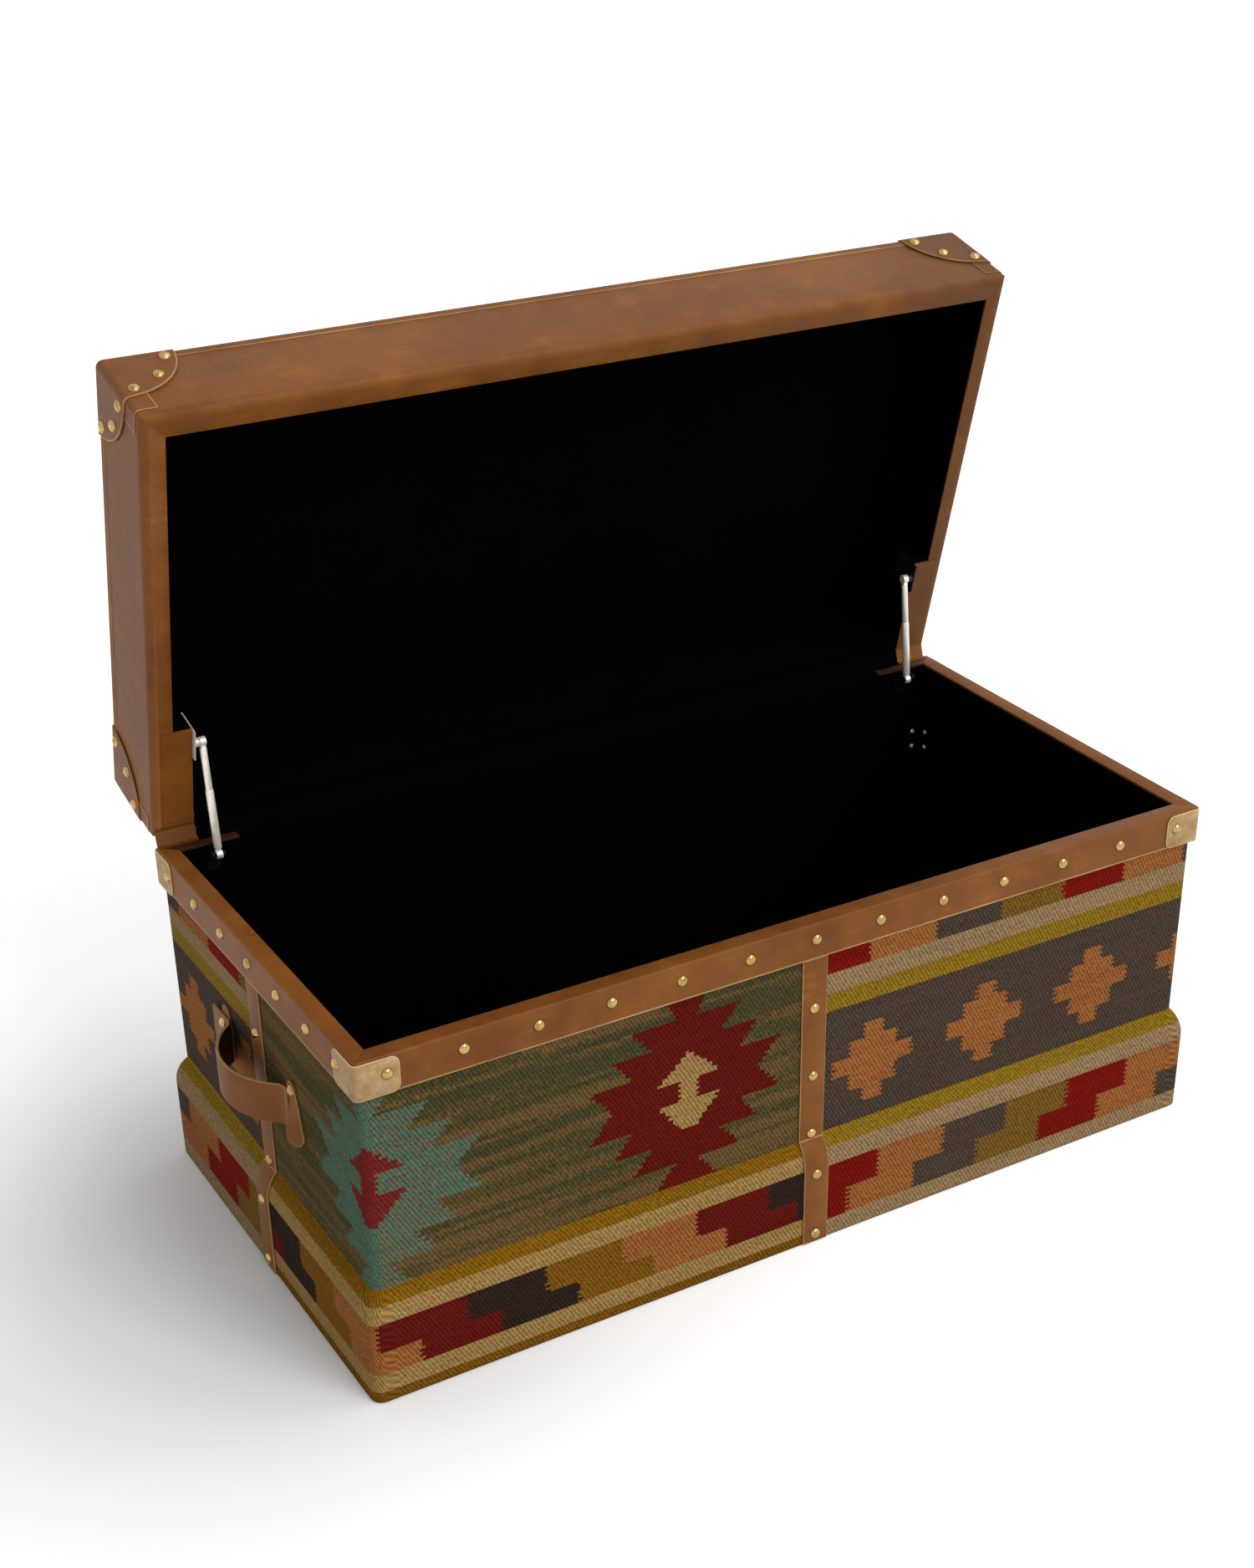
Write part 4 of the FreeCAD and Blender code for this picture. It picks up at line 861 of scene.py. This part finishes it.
def curlTab(piece, sign):
    # the front tab hangs askew from its stud, and its lower end stands off the cloth along one edge
    scoreAt(piece, *tab["cuts"])
    front = -(tab["offset"] + tab["half"]) * mm
    for vertex in piece.data.vertices:
        share = (tab["curlFrom"] * mm - vertex.co.z) / ((tab["curlFrom"] - tab["curlTo"]) * mm)
        share = min(1.0, max(0.0, share))
        angle = math.radians(tab["curl"]) * share * share * (3 - 2 * share)
        depth = vertex.co.y - front
        vertex.co.y = front + depth * math.cos(angle)
        vertex.co.x += depth * math.sin(angle) * sign
    pin = Matrix.Translation(Vector((0, -tab["offset"], tab["pivot"])) * mm)
    piece.data.transform(pin @ Matrix.Rotation(math.radians(-tab["tilt"]), 4, "X") @ pin.inverted())


tabs = []
for side, sign in (("left", -1), ("right", 1)):
    path = [(reach * sign, y, handle["level"]) for reach, y in handlePath()]
    band = ribbonAlong("handle" + side.title(), path, (0, 0, handle["width"]), (sign, 0, 0),
                       tanHide, rawEdge, paintedShadeHide)
    # the inner face of the band takes the dark hide, painted shade where it faces the wall
    thicken(band, handle["leather"], inside=2, edge=1)
    soften(band, handle["ease"], 3)
    settle(band, "box", "tan_leather", "handle_" + side)
    for end in (-1, 1):
        middle = tab["offset"] * end
        piece = sideBlock("tab", sign, tab["low"], tab["high"], middle - tab["half"], middle + tab["half"],
                          tab["bottom"], tab["top"])
        bevelWhere(piece, lambda e: runsAlong(e, 0), tab["endRound"], facets["tabEnd"])
        if end < 0:
            curlTab(piece, sign)
        tabs.append(piece)
handleTabs = joinAll(tabs, "handleTabs")
dress(handleTabs, tanHide, rawEdge)
soften(handleTabs, tab["ease"], 3, 1)
settle(handleTabs, "box", "tan_leather", "handle_tabs")
print("handles done")


# Domed brass studs, modelled once and copied to each place

stud = {"radius": 6, "rise": 3.6, "facets": 20, "rings": 12, "rimLevel": 364, "longEnd": 468,
        "longSteps": 6, "shortEnd": 213, "shortSteps": 3}


def studModel():
    piece = addShape("studModel", bpy.ops.mesh.primitive_uv_sphere_add, segments=stud["facets"],
                     ring_count=stud["rings"], radius=stud["radius"] * mm)
    openEdit(piece, "FACE", "SELECT")
    bpy.ops.mesh.bisect(plane_co=(0, 0, 0), plane_no=(0, 0, 1), use_fill=True, clear_inner=True)
    closeEdit()
    piece.scale = (1, 1, stud["rise"] / stud["radius"])
    applyPlace()
    smoothBy(piece, 50)
    return piece


studMaster = studModel()


def studsAt(name, places):
    copies = []
    for point, outward in places:
        piece = copyOf(studMaster, name)
        turn = Vector((0, 0, 1)).rotation_difference(Vector(outward)).to_matrix().to_4x4()
        piece.data.transform(Matrix.Translation(Vector(point) * mm) @ turn)
        copies.append(piece)
    joined = joinAll(copies, name)
    dress(joined, brass)
    return joined


def spacedOut(end, steps):
    # even places from one end to the other, the outermost lifted onto the caps
    return [(end * i / steps, caps["outer"] if abs(i) == steps else 0) for i in range(-steps, steps + 1)]


rimPlaces = []
for sign in (-1, 1):
    for x, lift in spacedOut(stud["longEnd"], stud["longSteps"]):
        # the middle hinge leaves no room for a stud at the back
        if x or sign < 0:
            rimPlaces.append(((x, (rim["halfY"] + lift) * sign, stud["rimLevel"]), (0, sign, 0)))
    for y, lift in spacedOut(stud["shortEnd"], stud["shortSteps"]):
        rimPlaces.append((((rim["halfX"] + lift) * sign, y, stud["rimLevel"]), (sign, 0, 0)))
settle(studsAt("rimStuds", rimPlaces), "box", "brass", "rim_studs")

strapPlaces = []
for level in strap["wallStuds"] + strap["footStuds"]:
    lift = strap["face"] if level in strap["wallStuds"] else strap["centre"] + strap["radius"]
    for sign in (-1, 1):
        strapPlaces.append(((0, lift * sign, level), (0, sign, 0)))
        strapPlaces.append((((lift + strap["endShift"]) * sign, 0, level), (sign, 0, 0)))
settle(studsAt("strapStuds", strapPlaces), "box", "brass", "strap_studs")

tabPlaces = [((lift * sign, y, level), (sign, 0, 0)) for sign in (-1, 1) for y, level, lift in tab["studs"]]
settle(studsAt("handleStuds", tabPlaces), "box", "brass", "handle_studs")
print("studs on the box done")


# Lid leather: mitred wraps, top skin, corner patches and corner strips

lid = {"rimPlane": 383.5, "top": 493.5, "bandX": 499.2, "bandY": 249.2, "corner": 5.2, "edge": 10,
       "leather": 2, "wrapTop": 481.3, "above": 20, "borderX": 475, "borderY": 225, "mitre": 0.1,
       "wrapEase": 0.5, "skinLow": 481.5, "skinX": 500, "skinY": 250, "skinCorner": 6, "topEdge": 5,
       "skinEase": 0.8}
thin = lid["leather"]
wrap = mitredBlock("wrap", lid["bandX"], lid["bandY"], lid["rimPlane"], lid["wrapTop"], lid["corner"],
                   lid["edge"])
inside = mitredBlock("inside", lid["bandX"] - thin, lid["bandY"] - thin, lid["rimPlane"] + thin,
                     lid["wrapTop"] + lid["above"], lid["corner"] - thin, lid["edge"] - thin)
carve(wrap, inside, "DIFFERENCE")
hollowOut(wrap, lid["borderX"], lid["borderY"])
for side, piece in mitreInFour(wrap, "lidWrap", lid["mitre"]).items():
    soften(piece, lid["wrapEase"])
    dress(piece, tanHide)
    settle(piece, "lid", "tan_leather", "lid_wrap_" + side)


def topShell(name, low, outer, inner):
    # a skin over the lid's top, between two offsets from the outer face of its leather
    shell = []
    for label, grow, below in ((name, outer, 0), ("inside", inner, 20)):
        shell.append(roundedBlock(label, lid["skinX"] + grow, lid["skinY"] + grow, low - below,
                                  lid["top"] + grow, lid["skinCorner"] + grow, lid["topEdge"] + grow))
    carve(*shell, "DIFFERENCE")
    dress(shell[0], tanHide, rawEdge)
    return shell[0]


skin = topShell("lidTopLeather", lid["skinLow"], 0, -thin)
soften(skin, lid["skinEase"], 2, 1)
settle(skin, "lid", "tan_leather", "lid_top_leather")

patch = {"inner": 0.2, "outer": 1.8, "radius": 75, "low": 410, "border": 1.3, "ease": 0.4, "facets": 96,
         "rings": 48, "faceSlack": 0.4, "rimSlack": 0.3, "studs": ((62.5, 13.8), (44.5, 44.5), (13.8, 62.5))}


def liesBeyond(point, halves, corner, skin):
    # true on the outer face of a skin over a block with round corners, and false on its inner face
    past = [max(0.0, abs(c) - (half - corner) * mm) for c, half in zip(point, halves)]
    return math.hypot(*past) > (corner + skin["outer"] - skin["faceSlack"]) * mm


topHalves = (lid["skinX"], lid["skinY"], lid["top"])
topBend = (lid["skinCorner"] + lid["topEdge"]) / 2
patchShell = topShell("patchShell", patch["low"], patch["outer"], patch["inner"])
for (signX, signY), corner in cornerNames.items():
    piece = copyOf(patchShell, "lidPatch" + corner.title().replace("_", ""))
    middle = Vector((lid["skinX"] * signX, lid["skinY"] * signY, lid["top"])) * mm
    lobe = addShape("lobe", bpy.ops.mesh.primitive_uv_sphere_add, segments=patch["facets"],
                    ring_count=patch["rings"], radius=patch["radius"] * mm, location=middle)
    dress(lobe, rawEdge)
    carve(piece, lobe, "INTERSECT")
    paleBorder(piece, patch["border"],
               lambda f: liesBeyond(f.calc_center_median(), topHalves, topBend, patch)
               and (f.calc_center_median() - middle).length < (patch["radius"] - patch["rimSlack"]) * mm)
    soften(piece, patch["ease"])
    settle(piece, "lid", "tan_leather", "lid_patch_" + corner)
bpy.data.objects.remove(patchShell)

strips = {"inner": 0.2, "outer": 0.8, "low": 395.5, "high": 430.5, "reach": 22.8, "border": 1.2,
          "corner": lid["corner"], "ease": 0.2, "faceSlack": 0.1}
bandHalves = (lid["bandX"], lid["bandY"])
lidStrips = joinAll(cornerFold("strip", lid["bandX"], lid["bandY"], strips), "lidCornerStrips")
dress(lidStrips, tanHide, rawEdge)
paleBorder(lidStrips, strips["border"],
           lambda f: abs(f.normal.z) < 0.5
           and liesBeyond(f.calc_center_median(), bandHalves, strips["corner"], strips))
soften(lidStrips, strips["ease"])
settle(lidStrips, "lid", "tan_leather", "lid_corner_strips")

stayBlock = {"inside": 454.8, "outside": 474.8, "front": 115, "back": 224.8, "low": 383.5, "high": 478.1}
# a skin over the block and the border beside it, down to the hinge edge
stayCover = {"inside": 454.8, "outside": 488.5, "front": 115, "back": 239.2, "low": 383.1, "high": 383.45}
stayBlockEase = 1.6
blocks = []
for sign in (-1, 1):
    blocks.append(sideBlock("stayBlock", sign, **stayBlock))
    soften(blocks[-1], stayBlockEase, 3)
    blocks.append(sideBlock("stayCover", sign, **stayCover))
lidBlocks = joinAll(blocks, "lidStayBlocks")
dress(lidBlocks, tanHide, blackLining)
for face in lidBlocks.data.polygons:
    face.material_index = 0 if face.normal.z < -0.5 else 1
settle(lidBlocks, "lid", "tan_leather", "lid_stay_blocks")

lidPlaces = []
for signX, signY in cornerNames:
    for along, drop in patch["studs"]:
        level = lid["top"] - drop
        x, y = (lid["skinX"] - along) * signX, (lid["skinY"] - along) * signY
        lidPlaces.append(((x, (lid["skinY"] + patch["outer"]) * signY, level), (0, signY, 0)))
        lidPlaces.append((((lid["skinX"] + patch["outer"]) * signX, y, level), (signX, 0, 0)))
lidStuds = studsAt("lidStuds", lidPlaces)
settle(lidStuds, "lid", "brass", "lid_studs")
bpy.data.objects.remove(studMaster)
print("lid leather done")


# Black linings with their flaps over the hinge side

lining = {"thick": 0.8, "cuts": 7}
linings = {
    "box": {"halfX": 480, "halfY": 230, "low": 13, "high": 379.2, "opens": 1,
            "boards": ["base_board", "front_board", "back_board", "left_board", "right_board"]},
    "lid": {"halfX": lid["borderX"], "halfY": lid["borderY"], "low": 385.7, "high": 478.3, "opens": -1,
            "boards": ["lid_top_board", "lid_front_board", "lid_back_board", "lid_left_board",
                       "lid_right_board"]},
}


def linedBox(name, spec):
    # five faces of cloth that look into the hollow, open upward or downward
    halfX, halfY, low, high = spec["halfX"], spec["halfY"], spec["low"], spec["high"]
    piece = blockBetween(name, (-halfX, -halfY, low), (halfX, halfY, high))
    openEdit(piece, "FACE")
    pickWhere(piece, "faces", lambda f: f.normal.z * spec["opens"] > 0.9)
    bpy.ops.mesh.delete(type="FACE")
    bpy.ops.mesh.select_all(action="SELECT")
    bpy.ops.mesh.flip_normals()
    bpy.ops.mesh.subdivide(number_cuts=lining["cuts"])
    closeEdit()
    area = areaOf(piece)
    thicken(piece, lining["thick"])
    dress(piece, blackLining)
    flat = ((2 * halfX + 2 * (high - low)) * mm, (2 * halfY + 2 * (high - low)) * mm)
    return piece, flat, area


for body, spec in linings.items():
    cloth, flat, area = linedBox(body + "Lining", spec)
    settle(cloth, body, "lining", body + "_lining")


def foldedCloth(name, spec):
    # a strip along the hinge side, folded as its path says, with its flat size and area
    middle, wide = (spec["from"] + spec["to"]) / 2, spec["to"] - spec["from"]
    path = [(middle, y, z) for y, z in spec["path"]]
    piece = ribbonAlong(name, path, (wide, 0, 0), spec["outward"], spec["finish"])
    area = areaOf(piece)
    thicken(piece, spec["thick"])
    deep = sum((Vector(b) - Vector(a)).length for a, b in zip(path, path[1:]))
    return piece, (wide * mm, deep * mm), area


flaps = {
    "boxFlap": {"path": [(229.5, 365.2), (229.5, 382.5), (244, 382.5)], "from": -414, "to": 414,
                "outward": (0, -1, 1), "thick": 0.5, "finish": blackLining, "body": "box",
                "carrier": "rim_back"},
    "lidFlap": {"path": [(224.5, 399.7), (224.5, 383.0), (239, 383.0)], "from": -454, "to": 454,
                "outward": (0, -1, -1), "thick": 0.5, "finish": blackLining, "body": "lid",
                "carrier": "lid_wrap_back"},
}
for name, spec in flaps.items():
    flap, flat, area = foldedCloth(name, spec)
    settle(flap, spec["body"], "lining")

# gussets close the gap along the hinge line: cloth between the linings, leather behind the two bare ends
gussets = {
    "hingeCloth": {"path": [(241, 382.75), (246.6, 382.8), (247.9, 384.6), (248.6, 387.4), (249.5, 390.6),
                            (250.6, 394.4), (251.7, 398.8), (250.9, 402.6)],
                   "from": -454, "to": 454, "outward": (0, -1, 0.3), "thick": 0.5, "finish": blackLining,
                   "slot": "lining"},
    # the left leather gusset takes the darker copy of the tan hide as painted shade, the right one the plain
    # tan hide
    "hingeHideLeft": {"path": [(243, 382.7), (247.6, 382.8), (248.6, 385.6), (249.5, 388.6), (250.4, 391.6),
                               (251.3, 394.6), (252.1, 397.4), (251.3, 400.6)],
                      "from": -498, "to": -454, "outward": (0, -1, 0.3), "thick": 0.8, "finish": gussetShadeHide,
                      "slot": "tan_leather"},
}
gussets["hingeHideRight"] = dict(gussets["hingeHideLeft"], **{"from": 454, "to": 493, "finish": tanHide})
for name, spec in gussets.items():
    gusset, flat, area = foldedCloth(name, spec)
    # the second point of its path and the last but one
    start, end = ([0, y * mm, z * mm] for y, z in (spec["path"][1], spec["path"][-2]))
    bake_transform(gusset)
print("linings done")


# Telescopic stays, modelled upright from the lower pivot and leaned into place

stay = {"x": 444, "lowY": 214, "lowZ": 375, "highY": 227.183, "highZ": 499.769, "eyeRadius": 5,
        "eyeHalf": 3.5, "neck": 2.6, "barEase": 0.7, "eyeEase": 0.6,
        "Tube": {"low": 7, "high": 72, "radius": 4.3}, "Rod": {"low": 57.5, "high": 118.5, "radius": 3.7}}


def barBetween(name, low, high, radius, edge):
    # a round bar along X or Z with eased ends
    low, high = Vector(low) * mm, Vector(high) * mm
    turn = (0, math.pi / 2, 0) if high.x > low.x else (0, 0, 0)
    piece = addShape(name, bpy.ops.mesh.primitive_cylinder_add, vertices=facets["bar"], radius=radius * mm,
                     depth=(high - low).length, location=(low + high) / 2, rotation=turn)
    applyPlace()
    applyModifier(piece, "BEVEL", width=edge * mm, segments=facets["barEnd"], limit_method="ANGLE",
                  angle_limit=math.radians(50))
    return piece


lean = math.atan2(stay["highY"] - stay["lowY"], stay["highZ"] - stay["lowZ"])
stayLong = math.hypot(stay["highY"] - stay["lowY"], stay["highZ"] - stay["lowZ"])
eyeHalf, neckHalf = stay["eyeHalf"], stay["neck"]
for side, sign in (("left", -1), ("right", 1)):
    leanInPlace = (Matrix.Translation(Vector((stay["x"] * sign, stay["lowY"], stay["lowZ"])) * mm)
                   @ Matrix.Rotation(-lean, 4, "X"))
    for kind, eyeLevel, neckEnd in (("Tube", 0, "low"), ("Rod", stayLong, "high")):
        spec = stay[kind]
        piece = barBetween("stay" + kind + side.title(), (0, 0, spec["low"]), (0, 0, spec["high"]),
                           spec["radius"], stay["barEase"])
        necks = sorted((eyeLevel, spec[neckEnd]))
        neck = blockBetween("neck", (-neckHalf, -neckHalf, necks[0] - 1), (neckHalf, neckHalf, necks[1] + 1))
        eye = barBetween("eye", (-eyeHalf, 0, eyeLevel), (eyeHalf, 0, eyeLevel), stay["eyeRadius"],
                         stay["eyeEase"])
        carve(piece, neck, "UNION")
        carve(piece, eye, "UNION")
        smoothBy(piece, 35)
        dress(piece, chrome)
        piece.data.transform(leanInPlace)
        node = "stay_%s_%s" % (kind.lower(), side)
        settle(piece, node, "chrome", node)
print("stays done")


# Finishes for the CAD pieces that stay as they are

cadFinishes = (
    # the lid brackets carry a painted highlight on the left and painted shade on the right
    (bracketLightAndShade, ["stay_lid_brackets"]),
    (chrome, ["brace_screws"]),
    (zincSteel, ["hinge_box_leaves", "hinge_lid_leaves", "hinge_pins", "hinge_box_screws",
                 "hinge_lid_screws"]),
    # the box brackets take the black steel as painted shade, the corner braces as their black paint
    (blackPaintAndShadeSteel, ["corner_braces", "stay_box_brackets"]),
    (board, [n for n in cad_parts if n.endswith("_board") or n.startswith("plinth_")]),
)
for finish, names in cadFinishes:
    for name in names:
        dress(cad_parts[name], finish)


# Floor, light and camera

stage = {"floorSize": 60, "floorLevel": -0.0005, "floorColour": (0.86, 0.87, 0.88, 1),
         "floorLift": 0.38, "shadowPlace": (-0.58, 0.02, 0), "shadowFrom": 0.05, "shadowTo": 0.75,
         "worldFill": 0.5}
lamps = {
    "keyLamp": {"toward": (-0.3, 0.83, -0.68), "spread": 36, "strength": 1.4},
    "topLamp": {"toward": (-0.62, 0.05, -1.0), "spread": 50, "strength": 0.75},
}
photoCamera = {"place": (-1.1706, -1.9383, 1.5204), "turn": (60.419, -0.068, -31.666), "lens": 54.473,
               "sensor": 36.0, "shift": (-0.05131, 0.10359)}


floor = addShape("floor", bpy.ops.mesh.primitive_plane_add, size=stage["floorSize"],
                 location=(0, 0, stage["floorLevel"]))
paleFloor = Finish("paleFloor", colour=stage["floorColour"], rough=0.9, specular=0.0)
# painted shadow: the floor's glow is lowest close to the left end of the trunk and rises away from it
away = paleFloor.node("ShaderNodeVectorMath", {"operation": "DISTANCE"},
                      {0: paleFloor.place(), 1: stage["shadowPlace"]}, "Value")
lift = paleFloor.node("ShaderNodeMapRange", {"interpolation_type": "SMOOTHSTEP"}, {
    "Value": away, "From Min": stage["shadowFrom"], "From Max": stage["shadowTo"], "To Min": 0.0,
    "To Max": stage["floorLift"]})
paleFloor.shade(glow=lift, glowStrength=paleFloor.seenRays())
dress(floor, paleFloor.material)

# white where it is seen, and a plain fill for the object
scene.world = bpy.data.worlds.new("studio")
scene.world.use_nodes = True
sky = Nodes(scene.world.node_tree)
background = sky.tree.nodes["Background"]
sky.feed(background.inputs["Color"], (1, 1, 1, 1))
sky.feed(background.inputs["Strength"], sky.node("ShaderNodeMapRange", {}, {
    "Value": sky.seenRays(), "To Min": stage["worldFill"], "To Max": 1.0}))

# even lamps far away, so that the floor is lit alike all over
for name, spec in lamps.items():
    lamp = bpy.data.lights.new(name, "SUN")
    lamp.angle = math.radians(spec["spread"])
    lamp.energy = spec["strength"]
    piece = bpy.data.objects.new(name, lamp)
    piece.rotation_euler = Vector(spec["toward"]).to_track_quat("-Z", "Y").to_euler()
    scene.collection.objects.link(piece)

optics = bpy.data.cameras.new("photoCamera")
optics.lens = photoCamera["lens"]
optics.sensor_width = photoCamera["sensor"]
optics.shift_x, optics.shift_y = photoCamera["shift"]
camera = bpy.data.objects.new("photoCamera", optics)
camera.location = photoCamera["place"]
camera.rotation_euler = [math.radians(a) for a in photoCamera["turn"]]
scene.collection.objects.link(camera)
scene.camera = camera
print("stage done")
